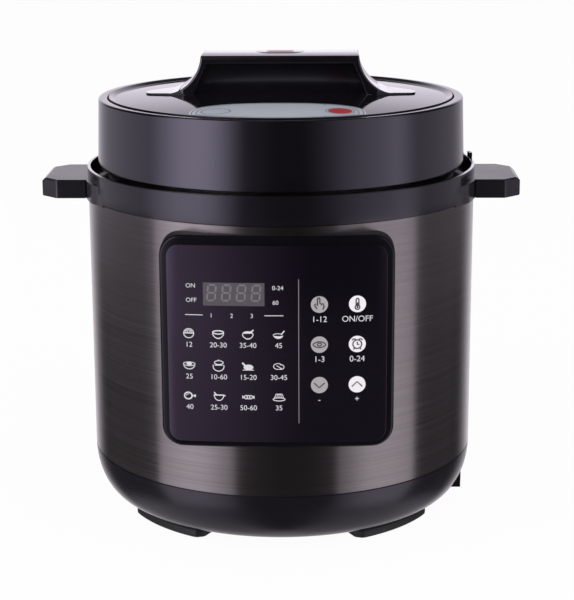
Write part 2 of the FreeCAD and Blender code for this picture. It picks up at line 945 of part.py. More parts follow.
def inner_pot():
    body = make_body("inner_pot")
    foot = pot_radius - d.pot_corner
    level = heater_top + d.pot_corner
    inner = d.pot_corner - d.pot_wall
    outside = chords(foot, level, d.pot_corner, d.pot_corner, -90, 0, 2)
    inside = chords(foot, level, inner, inner, 0, -90, 2)
    turn(body, [(0, heater_top)] + outside + [
        (pot_radius, rim_under), (lug_root_radius, rim_under), (lug_root_radius, rim_top),
        (pot_inner, rim_top),
    ] + inside + [(0, heater_top + d.pot_wall)])
    return body


# Sealing ring: a lipped silicone ring between the pot's rim and the lid

def sealing_ring():
    body = make_body("sealing_ring")
    back = ring_outer - d.ring_back
    lip = d.ring_lip
    turn(body, [
        (ring_inner, rim_top), (ring_outer, rim_top), (ring_outer, plate_under),
        (ring_inner + lip, plate_under), (ring_inner + lip, plate_under - lip),
        (back, plate_under - 2 * lip), (back, rim_top + 2 * lip), (ring_inner, rim_top + lip),
    ])
    return body


def ring_rack():
    body = make_body("ring_rack")
    level = plate_under - d.rack_drop
    inner = rack_radius - d.rack_wire
    outer = rack_radius + d.rack_wire
    turn(body, rectangle(inner, level - d.rack_wire, outer, level + d.rack_wire))
    post = make_sketch(body, "XY", level)
    add_loop(post, rectangle(inner, -d.rack_wire, outer, d.rack_wire))
    polar(body, pad(body, post, d.rack_drop), d.rack_posts)
    return body


# Pressure plate: the lid's steel dish with the turning bayonet lugs

def lid_pressure_plate():
    body = make_body("lid_pressure_plate")
    turn(body, [
        (0, plate_under), (skirt_inner, plate_under), (skirt_inner, skirt_under),
        (skirt_outer, skirt_under), (skirt_outer, plate_top - d.plate_corner),
        (skirt_outer - d.plate_corner, plate_top), (0, plate_top),
    ])
    lug = make_sketch(body, "XY", skirt_under)
    middle = 180 / d.lug_count
    half = d.lug_span / 2
    reach = skirt_inner + d.plate_wall / 2
    add_loop(lug, sector(lid_lug_radius, reach, middle - half, middle + half))
    polar(body, pad(body, lug, d.lid_lug_thickness), d.lug_count)
    holes = make_sketch(body, "XY", plate_under)
    add_circle(holes, 0, valve_y, d.nozzle_bore)
    add_circle(holes, float_x, float_y, float_port)
    pocket(body, holes, 2 * d.plate_wall, ahead=True)
    body.Tip = body.Group[-1]
    return body


# Lid shell: the moulded cap with its sunk deck and the bosses that hold the pressure plate

def lid_shell():
    body = make_body("lid_shell")
    low_radius = lid_radius + d.lid_draft
    edge = d.lid_edge
    shoulder = chords(lid_radius - edge, lid_top - edge, edge, edge, 0, 90, 2)
    turn(body, [(low_radius, lid_under)] + shoulder + [
        (lid_rim_inner, lid_top), (lid_rim_inner, deck_top), (0, deck_top), (0, deck_under),
        (lid_radius - d.lid_wall, deck_under), (lid_radius - d.lid_wall, lid_under),
    ])
    boss = make_sketch(body, "XY", plate_top)
    add_circle(boss, d.boss_circle * cos(d.boss_angle), d.boss_circle * sin(d.boss_angle), d.boss_radius)
    polar(body, pad(body, boss, deck_top - plate_top), d.boss_count)
    holes = make_sketch(body, "XY", deck_under)
    add_circle(holes, 0, 0, port_radius)
    add_circle(holes, 0, valve_y, d.valve_flange + d.lever_port_gap)
    add_circle(holes, float_x, float_y, d.float_radius + d.port_gap)
    pocket(body, holes, 2 * d.deck_thickness, ahead=True)
    body.Tip = body.Group[-1]
    return body


# Top cover: the gently domed disc inside the lid's rim

def lid_top_cover():
    body = make_body("lid_top_cover")
    wall = d.cover_wall
    inner = cover_radius - wall
    middle = cover_radius / 3
    turn(body, [(cover_radius, deck_top)] + dome_profile(0) + [
        (0, dome_height(middle) - wall), (middle, dome_height(middle) - wall),
        (inner, dome_height(inner) - wall), (inner, deck_top),
    ])
    holes = make_sketch(body, "XY", deck_top)
    add_circle(holes, 0, 0, port_radius)
    add_circle(holes, 0, valve_y, d.valve_neck)
    add_circle(holes, float_x, float_y, float_port)
    pocket(body, holes, 2 * (cover_top - deck_top), ahead=True)
    return body


# Bridge handle: a strap on a flared saddle, with a grasp well at its front and back

def saddle_plan():
    """Outline of the saddle: as wide as the strap's foot, with a rounded tongue at each side."""
    half_tip = d.tongue_width / 2
    flat = d.tongue_round - root(d.tongue_round * d.tongue_round - half_tip * half_tip)
    tip = d.tongue_reach - flat
    half_root = d.bridge_width / 2 + d.bridge_lean
    return [
        Arc(tip, -half_tip, d.tongue_round, 1), (tip, half_tip),
        (d.tongue_root, half_root), (-d.tongue_root, half_root),
        Arc(-tip, half_tip, d.tongue_round, 1), (-tip, -half_tip),
        (-d.tongue_root, -half_root), (d.tongue_root, -half_root),
    ]


def lid_handle():
    body = make_body("lid_handle")
    reach = d.tongue_reach
    layer = d.saddle_thickness
    turn(body, [(0, cover_edge - layer), (cover_radius, cover_edge - layer)] + dome_profile(layer))
    # Side view of the strap: a flat top on two hollow flanks
    flank = d.bridge_flank
    foot = dome_height(d.bridge_foot) + layer / 2
    shoulder = bridge_top - d.bridge_round
    drop = foot + flank - shoulder
    neck = d.bridge_foot - root(flank * flank - drop * drop)
    sole = cover_top - 2 * d.cover_rise
    side = make_sketch(body, "XZ")
    add_loop(side, [
        (-d.bridge_foot, sole), (d.bridge_foot, sole),
        Arc(d.bridge_foot, foot, flank, -1), Arc(neck, shoulder, d.bridge_round, 1),
        (neck - d.bridge_round, bridge_top), Arc(d.bridge_round - neck, bridge_top, d.bridge_round, 1),
        Arc(-neck, shoulder, flank, -1), (-d.bridge_foot, foot),
    ])
    half = d.bridge_width / 2
    depth = half + d.bridge_lean
    pad(body, side, 2 * (depth + layer), "Symmetric")
    # End view: a crowned top on two leaning faces
    edge = half - d.bridge_round
    brow = bridge_top - d.bridge_crown
    crown = (edge * edge + d.bridge_crown * d.bridge_crown) / (2 * d.bridge_crown)
    low = cover_top - layer
    ends = make_sketch(body, "YZ")
    add_loop(ends, rectangle(-2 * depth, sole - layer, 2 * depth, bridge_top + layer))
    add_loop(ends, [
        (-depth, sole), (depth, sole), (depth, low),
        Arc(half, brow - d.bridge_round, d.bridge_round, 1), Arc(edge, brow, crown, 1),
        Arc(-edge, brow, d.bridge_round, 1), (-half, brow - d.bridge_round), (-depth, low),
    ])
    pocket(body, ends, 4 * d.bridge_foot, "Symmetric")
    # Plan view: everything outside the saddle's outline goes
    plan = make_sketch(body, "XY", cover_top)
    add_loop(plan, rectangle(-2 * reach, -2 * reach, 2 * reach, 2 * reach))
    add_loop(plan, saddle_plan())
    pocket(body, plan, 4 * d.bridge_height, "Symmetric")
    dome_groove(body)
    # Grasp wells on both sides of the web
    web = d.web_width / 2
    ceiling = bridge_top - d.strap_thickness
    end = depth + layer
    sections = []
    for level, spread in ((sole, d.grasp_draft), (ceiling, as_size(0))):
        sketch = make_sketch(body, "XY", level)
        wide = d.grasp_length / 2 + spread
        add_loop(sketch, rectangle(-wide, -end, wide, -web))
        sections.append(sketch)
    well = feature(body, "SubtractiveLoft", sections[0])
    well.Sections = [sections[1]]
    well.Ruled = True
    arch = make_sketch(body, "XZ", web)
    top = bridge_top - d.arch_drop
    wing = d.arch_crown_length / 2
    bow = d.arch_crown - root(d.arch_crown * d.arch_crown - wing * wing)
    wide = d.arch_length / 2
    add_loop(arch, [
        (-wide, sole), (wide, sole),
        Arc(wide, top - bow - d.arch_shoulder, d.arch_shoulder, 1),
        Arc(wing, top - bow, d.arch_crown, 1),
        Arc(-wing, top - bow, d.arch_shoulder, 1),
        (-wide, top - bow - d.arch_shoulder),
    ])
    relief = pocket(body, arch, d.arch_depth)
    mirror(body, [well, relief], "XZ")
    # Button pocket and the bore for its stem
    mouth = make_sketch(body, "XY", bridge_top)
    add_loop(mouth, button_outline(d.button_gap))
    room = d.button_thickness - d.button_proud + d.button_travel + d.button_gap
    pocket(body, mouth, room)
    bore = make_sketch(body, "XY", bridge_top)
    add_circle(bore, 0, 0, port_radius)
    pocket(body, bore, 2 * d.bridge_height)
    body.Tip = body.Group[-1]
    return body


def button_outline(gap):
    half = d.button_width / 2 + gap
    flat = d.button_length / 2 - d.button_width / 2
    end = flat + half
    return [
        (-flat, -half), Arc(flat, -half, half, 1), Arc(end, 0, half, 1),
        (flat, half), Arc(-flat, half, half, 1), Arc(-end, 0, half, 1),
    ]


# Release button: a capsule in the strap with a stem down to the lever

def release_button():
    body = make_body("release_button")
    cap_top = bridge_top + d.button_proud
    cap_under = cap_top - d.button_thickness
    tip = lever_top + d.lever_gap
    turn(body, [
        (0, tip), (d.tip_radius, tip), (d.tip_radius, tip + d.tip_length),
        (d.button_stem, tip + d.tip_length + d.button_stem - d.tip_radius),
        (d.button_stem, cap_under + d.button_thickness / 2), (0, cap_under + d.button_thickness / 2),
    ])
    cap = make_sketch(body, "XY", cap_under)
    add_loop(cap, button_outline(as_size(0)))
    pad(body, cap, d.button_thickness)
    return body


# Release lever on its pin: the button presses its nose, its fork lifts the valve

def release_lever():
    body = make_body("release_lever")
    side = make_sketch(body, "YZ")
    add_loop(side, rectangle(-d.lever_nose, lever_under, valve_y + d.lever_tail, lever_top))
    pad(body, side, d.lever_width, "Symmetric")
    boss = make_sketch(body, "YZ")
    add_circle(boss, d.lever_pivot, lever_axis, d.pivot_boss)
    pad(body, boss, d.lever_width, "Symmetric")
    hole = make_sketch(body, "YZ")
    add_circle(hole, d.lever_pivot, lever_axis, d.pin_radius + d.slide_gap)
    pocket(body, hole, 2 * d.lever_width, "Symmetric")
    fork = make_sketch(body, "XY", lever_under)
    half = d.valve_neck + d.fork_gap
    add_loop(fork, rectangle(-half, valve_y - half, half, valve_y + half))
    pocket(body, fork, 2 * d.lever_thickness, ahead=True)
    return body


def lever_bracket():
    body = make_body("lever_bracket")
    inside = d.lever_width / 2 + d.ear_gap
    outside = inside + d.ear_wall
    near = d.lever_pivot - d.ear_width / 2
    far = d.lever_pivot + d.ear_width / 2
    base = make_sketch(body, "XY", plate_top)
    add_loop(base, rectangle(-outside, near - d.ear_wall, outside, far + d.ear_wall))
    pad(body, base, d.bracket_base)
    ear = make_sketch(body, "YZ", inside)
    add_loop(ear, rectangle(near, plate_top, far, deck_under - d.ear_margin))
    post = pad(body, ear, d.ear_wall)
    mirror(body, [post], "YZ")
    hole = make_sketch(body, "YZ")
    add_circle(hole, d.lever_pivot, lever_axis, d.pin_radius)
    pocket(body, hole, 4 * d.lever_width, "Symmetric")
    body.Tip = body.Group[-1]
    return body


def lever_pin():
    pin = doc.addObject("Part::Cylinder", "lever_pin")
    pin.Label = "lever_pin"
    half = d.lever_width / 2 + d.ear_gap + d.ear_wall
    pin.setExpression("Radius", d.pin_radius.text)
    pin.setExpression("Height", (2 * half).text)
    pin.Placement = FreeCAD.Placement(
        FreeCAD.Vector(0, 0, 0), FreeCAD.Rotation(FreeCAD.Vector(0, 1, 0), 90))
    pin.setExpression("Placement.Base.x", (-half).text)
    pin.setExpression("Placement.Base.y", d.lever_pivot.text)
    pin.setExpression("Placement.Base.z", lever_axis.text)
    return pin


# Exhaust: nozzle on the pressure plate, weighted valve on the nozzle, strainer below

def exhaust_nozzle():
    body = make_body("exhaust_nozzle")
    place(body, y=valve_y)
    turn(body, [
        (d.nozzle_bore, plate_top), (d.nozzle_flange, plate_top),
        (d.nozzle_flange, plate_top + d.nozzle_base), (d.nozzle_radius, plate_top + d.nozzle_base),
        (d.nozzle_radius, plate_top + d.nozzle_height), (d.nozzle_bore, plate_top + d.nozzle_height),
    ])
    return body


def exhaust_valve():
    body = make_body("exhaust_valve")
    place(body, y=valve_y)
    seat = plate_top + d.nozzle_height + d.valve_gap
    flange_under = lever_top + d.lever_gap
    socket = d.nozzle_radius + d.valve_gap
    shoulder = lever_under - d.valve_room
    turn(body, [
        (0, seat), (socket, seat), (socket, seat - d.skirt_depth),
        (d.valve_radius, seat - d.skirt_depth), (d.valve_radius, shoulder), (d.valve_neck, shoulder),
        (d.valve_neck, flange_under), (d.valve_flange, flange_under),
        (d.valve_flange, flange_under + d.valve_flange_height), (0, flange_under + d.valve_flange_height),
    ])
    return body


def strainer_cap():
    body = make_body("strainer_cap")
    place(body, y=valve_y)
    inside = d.strainer_radius - d.strainer_wall
    low = plate_under - d.strainer_height
    turn(body, [
        (0, low), (d.strainer_radius, low), (d.strainer_radius, plate_under), (inside, plate_under),
        (inside, low + d.strainer_wall), (0, low + d.strainer_wall),
    ])
    slot = make_sketch(body, "YZ")
    half = d.strainer_slot / 2
    add_loop(slot, rectangle(-half, low + 2 * half, half, plate_under - 2 * half))
    polar(body, pocket(body, slot, 2 * d.strainer_radius, ahead=True), d.strainer_slots)
    return body


def steam_vent_cap():
    body = make_body("steam_vent_cap")
    top = dome_height(valve_y) + d.vent_height
    base = make_sketch(body, "XY", deck_top)
    add_circle(base, 0, valve_y, d.vent_radius)
    pad(body, base, top - deck_top)
    room = make_sketch(body, "XY", deck_top)
    add_circle(room, 0, valve_y, d.vent_radius - d.vent_wall)
    pocket(body, room, top - deck_top - d.vent_wall, ahead=True)
    slots = make_sketch(body, "XY", deck_top)
    half = d.vent_slot / 2
    wide = d.vent_radius / 2
    for step in (-1, 0, 1):
        middle = valve_y + d.vent_pitch * step
        add_loop(slots, rectangle(-wide, middle - half, wide, middle + half))
    pocket(body, slots, ahead=True)
    dome_groove(body)
    return body


# Float valve: the pin that rises through the lid under pressure

def float_valve():
    body = make_body("float_valve")
    place(body, float_x, float_y)
    reach = root(float_x * float_x + float_y * float_y)
    top = dome_height(reach) - d.float_top
    turn(body, [
        (0, plate_under - d.float_drop), (d.float_radius, plate_under - d.float_drop),
        (d.float_radius, plate_top), (d.float_flange, plate_top),
        (d.float_flange, plate_top + d.float_flange_height),
        (d.float_radius, plate_top + d.float_flange_height), (d.float_radius, top), (0, top),
    ])
    return body


def float_gasket():
    body = make_body("float_gasket")
    place(body, float_x, float_y)
    low = plate_under - d.float_drop + d.gasket_rise
    turn(body, rectangle(d.float_radius, low, d.gasket_radius, low + d.gasket_height))
    return body


pieces = [
    base_pan(), rubber_feet(), power_inlet(), inlet_pins(), steel_shell(), collar_ring(),
    side_handle("side_handle_left", -1), side_handle("side_handle_right", 1),
    panel_housing(), control_film(), control_board(),
    outer_pot(), heat_shield(), tie_rods(), heating_plate(), sensor_holder(), sensor_cap(),
    inner_pot(), sealing_ring(), ring_rack(), lid_pressure_plate(), lid_shell(), lid_top_cover(),
    lid_handle(), release_button(), release_lever(), lever_bracket(), lever_pin(),
    exhaust_nozzle(), exhaust_valve(), strainer_cap(), steam_vent_cap(), float_valve(), float_gasket(),
]

doc.recompute()

# Every object has to be sound before anything is written
for item in doc.Objects:
    if "Invalid" in item.State or "Error" in item.State:
        raise RuntimeError("%s failed: %s" % (item.Name, item.State))
for piece in pieces:
    if piece.Shape.isNull() or not piece.Shape.isValid():
        raise RuntimeError("%s has no valid shape" % piece.Label)

os.makedirs("parts", exist_ok=True)
for piece in pieces:
    piece.Shape.exportStep("parts/%s.step" % piece.Label)
    box = piece.Shape.BoundBox
    print("%-20s solids %d volume %9.0f  x %.1f %.1f  y %.1f %.1f  z %.1f %.1f" % (
        piece.Label, len(piece.Shape.Solids), piece.Shape.Volume,
        box.XMin, box.XMax, box.YMin, box.YMax, box.ZMin, box.ZMax))
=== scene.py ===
import math
import bmesh
import bpy
from mathutils import Matrix, Vector


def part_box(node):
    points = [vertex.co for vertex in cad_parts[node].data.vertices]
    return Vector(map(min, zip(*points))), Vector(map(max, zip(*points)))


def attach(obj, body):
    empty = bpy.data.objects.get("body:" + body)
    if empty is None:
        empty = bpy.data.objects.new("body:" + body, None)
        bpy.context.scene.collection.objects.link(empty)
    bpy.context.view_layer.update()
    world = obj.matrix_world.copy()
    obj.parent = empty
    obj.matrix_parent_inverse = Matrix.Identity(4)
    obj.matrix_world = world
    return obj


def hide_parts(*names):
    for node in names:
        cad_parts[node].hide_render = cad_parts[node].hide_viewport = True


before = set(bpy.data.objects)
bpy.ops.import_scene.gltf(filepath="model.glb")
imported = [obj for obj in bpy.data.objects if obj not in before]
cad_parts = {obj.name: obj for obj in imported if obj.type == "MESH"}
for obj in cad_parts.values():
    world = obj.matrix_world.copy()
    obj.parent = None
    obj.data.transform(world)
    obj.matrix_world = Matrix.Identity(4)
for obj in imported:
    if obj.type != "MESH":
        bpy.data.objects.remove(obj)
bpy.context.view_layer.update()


# Rubber feet: four curved pads of black rubber, pressed into the base from below.
# They lift the base off the worktop so that air gets to its vents.

MM = 0.001
CREASE = 32
ROUND_CREASE = 40
WELD = 0.002
FLAT_ANGLE = 0.4


class Wire:
    """One socket of a finish. Sums written on wires become Math nodes."""

    def __init__(self, tree, socket=None):
        self.tree = tree
        self.socket = socket

    def node(self, kind, settings, sockets, output=0):
        """Any other node: settings first, then a value or a link for each socket."""
        made = self.tree.nodes.new(kind)
        for name, value in settings.items():
            setattr(made, name, value)
        for name, value in sockets.items():
            if isinstance(value, Wire):
                self.tree.links.new(value.socket, made.inputs[name])
            else:
                made.inputs[name].default_value = value
        return Wire(self.tree, made.outputs[output])

    def math(self, operation, first, second):
        return self.node("ShaderNodeMath", {"operation": operation}, {0: first, 1: second})

    def __add__(self, other):
        return self.math("ADD", self, other)

    def __sub__(self, other):
        return self.math("SUBTRACT", self, other)

    def __rsub__(self, other):
        return self.math("SUBTRACT", other, self)

    def __mul__(self, other):
        return self.math("MULTIPLY", self, other)

    __radd__ = __add__
    __rmul__ = __mul__

    def blend(self, low, high):
        """A colour between two, by this wire's value."""
        return self.node("ShaderNodeMix", {"data_type": "RGBA"}, {0: self, 6: low, 7: high}, 2)

    def into(self, shader, name):
        self.tree.links.new(self.socket, shader.inputs[name])

    def emboss(self, shader, strength, depth):
        """Raises a finish's surface by this wire's value, to a depth in millimetres."""
        relief = {"Strength": strength, "Distance": depth * MM, "Height": self}
        self.node("ShaderNodeBump", {}, relief).into(shader, "Normal")


def new_finish(name, constants):
    """A material, its shader with the constant sockets set, and a wire to build on."""
    material = bpy.data.materials.new(name)
    material.use_nodes = True
    shader = material.node_tree.nodes["Principled BSDF"]
    for socket, value in constants.items():
        shader.inputs[socket].default_value = value
    return material, shader, Wire(material.node_tree)


def grain(wire, scale, detail=3.0, stretch=None):
    """Noise over the piece in its own place, stretched along an axis where asked."""
    place = wire.node("ShaderNodeTexCoord", {}, {}, "Object")
    if stretch:
        place = wire.node("ShaderNodeVectorMath", {"operation": "MULTIPLY"}, {0: place, 1: stretch})
    return wire.node("ShaderNodeTexNoise", {}, {"Vector": place, "Scale": scale, "Detail": detail})


def moulded(name, dark, light, roughness, spread, grain_size, depth, **constants):
    """Plastic or rubber: a mottled colour, an uneven gloss and a moulded grain."""
    material, shader, wire = new_finish(name, constants)
    cloud = grain(wire, 35.0)
    cloud.blend((*dark, 1), (*light, 1)).into(shader, "Base Color")
    fine = grain(wire, 1 / (grain_size * MM), 2.0)
    (roughness + spread * (cloud - 0.5) + spread * (fine - 0.5)).into(shader, "Roughness")
    fine.emboss(shader, 1.0, depth)
    return material


def placed(name, data):
    """A new object in the scene."""
    made = bpy.data.objects.new(name, data)
    bpy.context.scene.collection.objects.link(made)
    return made


def from_points(name, points, faces):
    """An object from millimetre points."""
    mesh = bpy.data.meshes.new(name)
    mesh.from_pydata([Vector(p) * MM for p in points], [], faces)
    return placed(name, mesh)


def from_form(name, form):
    """An object from a finished form."""
    mesh = bpy.data.meshes.new(name)
    form.to_mesh(mesh)
    form.free()
    return placed(name, mesh)


def add_piece(name, points, faces, finish, body, crease=CREASE, solid=True):
    """A mesh from millimetre points, shaded smooth up to its creases, on a body."""
    return dressed(from_points(name, points, faces), finish, body, crease, solid)


def dressed(piece, finish, body, crease, solid=True):
    """Turns a solid's faces outwards, and gives a piece its finish and body."""
    if solid:
        tidy = bmesh.new()
        tidy.from_mesh(piece.data)
        bmesh.ops.recalc_face_normals(tidy, faces=tidy.faces)
        tidy.to_mesh(piece.data)
        tidy.free()
    piece.data.polygons.foreach_set("use_smooth", [True] * len(piece.data.polygons))
    piece.data.set_sharp_from_angle(angle=math.radians(crease))
    piece.data.materials.clear()
    piece.data.materials.append(finish)
    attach(piece, body)
    return piece


def sharp_edges(form, crease=CREASE):
    """The edges of a form that turn by more than an angle in degrees."""
    return [e for e in form.edges if len(e.link_faces) == 2 and e.calc_face_angle() > math.radians(crease)]


def eased(name, node, width, finish, body, crease=CREASE, picked=None):
    """A piece in the form of a node, with its sharp edges, or those picked, broken by a radius."""
    form = bmesh.new()
    form.from_mesh(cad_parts[node].data)
    bmesh.ops.remove_doubles(form, verts=form.verts, dist=WELD * MM)
    bmesh.ops.dissolve_limit(
        form, angle_limit=math.radians(FLAT_ANGLE), verts=form.verts, edges=form.edges)
    sharp = sharp_edges(form, crease)
    if picked:
        sharp = [e for e in sharp if picked(*(v.co / MM for v in e.verts))]
    bmesh.ops.bevel(
        form, geom=sharp, offset=width * MM, segments=4 if picked else 3, profile=0.5, affect="EDGES",
        clamp_overlap=not picked)
    piece = dressed(from_form(name, form), finish, body, crease)
    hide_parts(node)
    return piece


FOOT_EDGE = 2.2
rubber = moulded(
    "foot rubber", (0.010, 0.010, 0.011), (0.018, 0.018, 0.019), roughness=0.55, spread=0.25,
    grain_size=0.5, depth=0.03)
eased("feet", "rubber_feet", FOOT_EDGE, rubber, "housing")


# Base pan: a moulded bowl of glossy black plastic with a flat floor and slots for air.
# Its spigot sits inside the steel shell, and a flat boss on its right carries the inlet.

SHELL_RADIUS = 138.0
FLOOR_RADIUS = 115.0
BASE_BOTTOM = 7.0
SHELL_BOTTOM = 44.0
SPIGOT_TOP = 50.0
SPIGOT_GAP = 1.1
BASE_WALL = 2.6
BASE_STEP = 0.1
LEDGE_TALL = 0.6
LEDGE_WIDE = 0.5
BOSS_ROOT = 111.0
BOSS_FACE = 132.0
BOSS_HALF = 17.5
BOSS_LOW = 9.0
BOSS_TOP = 35.0
BOSS_PAST = 30.0
POCKET_BACK = 100.0
POCKET_PAST = 5.0
POCKET_HALF = 13.6
POCKET_LOW = 10.9
POCKET_TOP = 31.1
VENTS = 10
VENT_START = 54.0
VENT_END = 80.0
VENT_HALF = 2.5
VENT_TOP = 12.0


def arc(across, up, wide, tall, start, end, steps=12):
    """Points of an elliptic arc about a middle, from one angle in degrees to another."""
    turns = [math.radians(start + (end - start) * i / steps) for i in range(steps + 1)]
    return [(across + wide * math.cos(t), up + tall * math.sin(t)) for t in turns]


def lathe_mesh(profile, steps):
    """Points and faces of a closed profile of (radius, height) turned about the axis."""
    points, rings, faces = [], [], []
    for radius, height in profile:
        count = 1 if radius < 0.001 else steps
        turns = [2 * math.pi * i / steps for i in range(count)]
        rings.append([len(points) + i for i in range(count)])
        points += [(radius * math.cos(t), radius * math.sin(t), height) for t in turns]
    for ring, after in zip(rings, rings[1:] + rings[:1]):
        if len(ring) == len(after) == 1:
            continue
        for i in range(steps):
            j = (i + 1) % steps
            corners = [ring[i % len(ring)], ring[j % len(ring)], after[j % len(after)], after[i % len(after)]]
            faces.append(list(dict.fromkeys(corners)))
    return points, faces


def lathe(name, profile, finish, body, steps, crease=CREASE):
    points, faces = lathe_mesh(profile, steps)
    return add_piece(name, points, faces, finish, body, crease)


def block(low, high):
    """Points and faces of a box, for cutting or joining."""
    points = [(x, y, z) for x in (low[0], high[0]) for y in (low[1], high[1]) for z in (low[2], high[2])]
    faces = [(0, 1, 3, 2), (4, 6, 7, 5), (0, 4, 5, 1), (2, 3, 7, 6), (0, 2, 6, 4), (1, 5, 7, 3)]
    return points, faces


def carve(piece, points, faces, operation="DIFFERENCE", crease=CREASE):
    """Cuts a form out of a piece, or joins it on."""
    tool = from_points("tool", points, faces)
    cut = piece.modifiers.new("cut", "BOOLEAN")
    cut.object = tool
    cut.operation = operation
    graph = bpy.context.evaluated_depsgraph_get()
    result = bpy.data.meshes.new_from_object(piece.evaluated_get(graph))
    piece.modifiers.clear()
    piece.data = result
    result.set_sharp_from_angle(angle=math.radians(crease))
    bpy.data.objects.remove(tool)


def violet(ior):
    """Constants of a plastic with a violet gloss."""
    return {"IOR": ior, "Specular Tint": (0.86, 0.82, 1.0, 1.0)}


base_gloss = moulded(
    "base plastic", (0.005, 0.0045, 0.006), (0.008, 0.007, 0.0095), roughness=0.22, spread=0.05,
    grain_size=3.0, depth=0.004, **violet(1.6))
bowl_wide = SHELL_RADIUS - FLOOR_RADIUS
bowl_tall = SHELL_BOTTOM - BASE_BOTTOM
bowl = arc(FLOOR_RADIUS, SHELL_BOTTOM, bowl_wide, bowl_tall, -90, -2, 28)
lining = arc(FLOOR_RADIUS, SHELL_BOTTOM, bowl_wide - BASE_WALL, bowl_tall - BASE_WALL, 0, -90, 10)
spigot = SHELL_RADIUS - SPIGOT_GAP
ledge = SHELL_BOTTOM - BASE_STEP
base_profile = [(0, BASE_BOTTOM)] + bowl + [
    (SHELL_RADIUS, ledge - LEDGE_TALL), (SHELL_RADIUS - LEDGE_WIDE, ledge), (spigot, ledge),
    (spigot, SPIGOT_TOP), (SHELL_RADIUS - BASE_WALL, SPIGOT_TOP)] + lining + [(0, BASE_BOTTOM + BASE_WALL)]
base = lathe("base", base_profile, base_gloss, "housing", 160)
boss = block((BOSS_ROOT, -BOSS_HALF, BASE_BOTTOM), (BOSS_FACE, BOSS_HALF, BOSS_TOP))
carve(base, *boss, operation="UNION")
carve(base, *block((BOSS_FACE, -BOSS_HALF, BOSS_LOW), (BOSS_FACE + BOSS_PAST, BOSS_HALF, BOSS_TOP)))
carve(base, *block(
    (POCKET_BACK, -POCKET_HALF, POCKET_LOW), (BOSS_FACE + POCKET_PAST, POCKET_HALF, POCKET_TOP)))
for vent in range(VENTS):
    turn = 2 * math.pi * vent / VENTS
    corners, sides = block((VENT_START, -VENT_HALF, 0), (VENT_END, VENT_HALF, VENT_TOP))
    corners = [(x * math.cos(turn) - y * math.sin(turn), x * math.sin(turn) + y * math.cos(turn), z)
               for x, y, z in corners]
    carve(base, corners, sides)
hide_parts("base_pan")


# Power inlet: a keyed three-pole socket of matt plastic, clipped into the boss from outside.
# Its plated pins stand back in the mouth.

def plated(name, dark, light, roughness, scratch, **constants):
    """Bright metal with fine scratches that catch the light unevenly."""
    material, shader, wire = new_finish(name, {"Metallic": 1.0, **constants})
    lines = grain(wire, 1.0, 4.0, scratch)
    lines.blend((*dark, 1), (*light, 1)).into(shader, "Base Color")
    (roughness + 0.14 * (lines - 0.5)).into(shader, "Roughness")
    lines.emboss(shader, 0.5, 0.004)
    return material


def dress(finish, *nodes):
    """Gives nodes that keep their own form a finish."""
    for node in nodes:
        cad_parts[node].data.materials.clear()
        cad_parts[node].data.materials.append(finish)


socket_matt = moulded(
    "inlet plastic", (0.012, 0.012, 0.013), (0.02, 0.02, 0.021), roughness=0.5, spread=0.12,
    grain_size=0.4, depth=0.02)
eased("inlet", "power_inlet", 0.5, socket_matt, "housing")
pin_plating = plated(
    "pin plating", (0.62, 0.6, 0.52), (0.8, 0.77, 0.68), roughness=0.22,
    scratch=(400, 400, 400))
dress(pin_plating, "inlet_pins")


# Steel shell: a drum of dark sheet steel, brushed round its girth and tinted black.
# It stands on the base's ledge under the collar. The panel hides its window, so none is cut here.

COLLAR_BOTTOM = 229.0
SHELL_WALL = 0.8
SHEET_EDGE = 0.2


def brushed_steel():
    material, shader, wire = new_finish("black brushed steel", {
        "Metallic": 1.0, "Anisotropic": 0.82, "Anisotropic Rotation": 0.25})
    strokes = grain(wire, 1.0, 6.0, (5, 5, 1900))
    bands = grain(wire, 1.0, 3.0, (3, 3, 330))
    mixed = 0.7 * strokes + 0.3 * bands
    mixed.blend((0.13, 0.12, 0.124, 1), (0.30, 0.275, 0.28, 1)).into(shader, "Base Color")
    (0.21 + 0.2 * (strokes - 0.5)).into(shader, "Roughness")
    strokes.emboss(shader, 0.5, 0.012)
    return material


inside = SHELL_RADIUS - SHELL_WALL
shell = lathe("shell", [
    (inside, SHELL_BOTTOM), (SHELL_RADIUS - SHEET_EDGE, SHELL_BOTTOM),
    (SHELL_RADIUS, SHELL_BOTTOM + SHEET_EDGE), (SHELL_RADIUS, COLLAR_BOTTOM - SHEET_EDGE),
    (SHELL_RADIUS - SHEET_EDGE, COLLAR_BOTTOM), (inside, COLLAR_BOTTOM),
], brushed_steel(), "housing", 256)
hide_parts("steel_shell")


# Inside the drum and the lid: zinc-plated shield, rods, sensor holder and release gear.
# The green board stands behind the panel. Little of this shows once the covers are on.

zinc = plated(
    "zinc plating", (0.34, 0.35, 0.36), (0.5, 0.51, 0.52), roughness=0.38,
    scratch=(60, 60, 60))
dress(zinc, "heat_shield", "tie_rods", "sensor_holder", "lever_bracket", "lever_pin", "exhaust_valve")
lacquer = moulded(
    "board lacquer", (0.01, 0.09, 0.03), (0.015, 0.13, 0.05), roughness=0.3, spread=0.1,
    grain_size=1.0, depth=0.01)
dress(lacquer, "control_board")


# Outer pot: a drawn well of dark anodised aluminium, with the fixed bayonet lugs round its mouth; its dark
# colour is also a painted shade for the gap under the lid.
# The cast heating plate sits on its floor, with the sprung sensor cap in the middle.

# Painted shade: the pot's metal is kept near black so that it reads as shade in the gap between lid and
# collar.
drawn = plated(
    "anodised aluminium", (0.05, 0.05, 0.053), (0.075, 0.075, 0.08), roughness=0.42,
    scratch=(9, 9, 420))
dress(drawn, "outer_pot")
cast = plated(
    "cast aluminium", (0.52, 0.52, 0.53), (0.7, 0.7, 0.71), roughness=0.42,
    scratch=(160, 160, 160))
dress(cast, "heating_plate", "sensor_cap")


# Collar: the moulded ring of glossy black plastic on the shell's upper edge.
# Its wall is the outside of the drip gutter, and a small lug on it stops the lid.

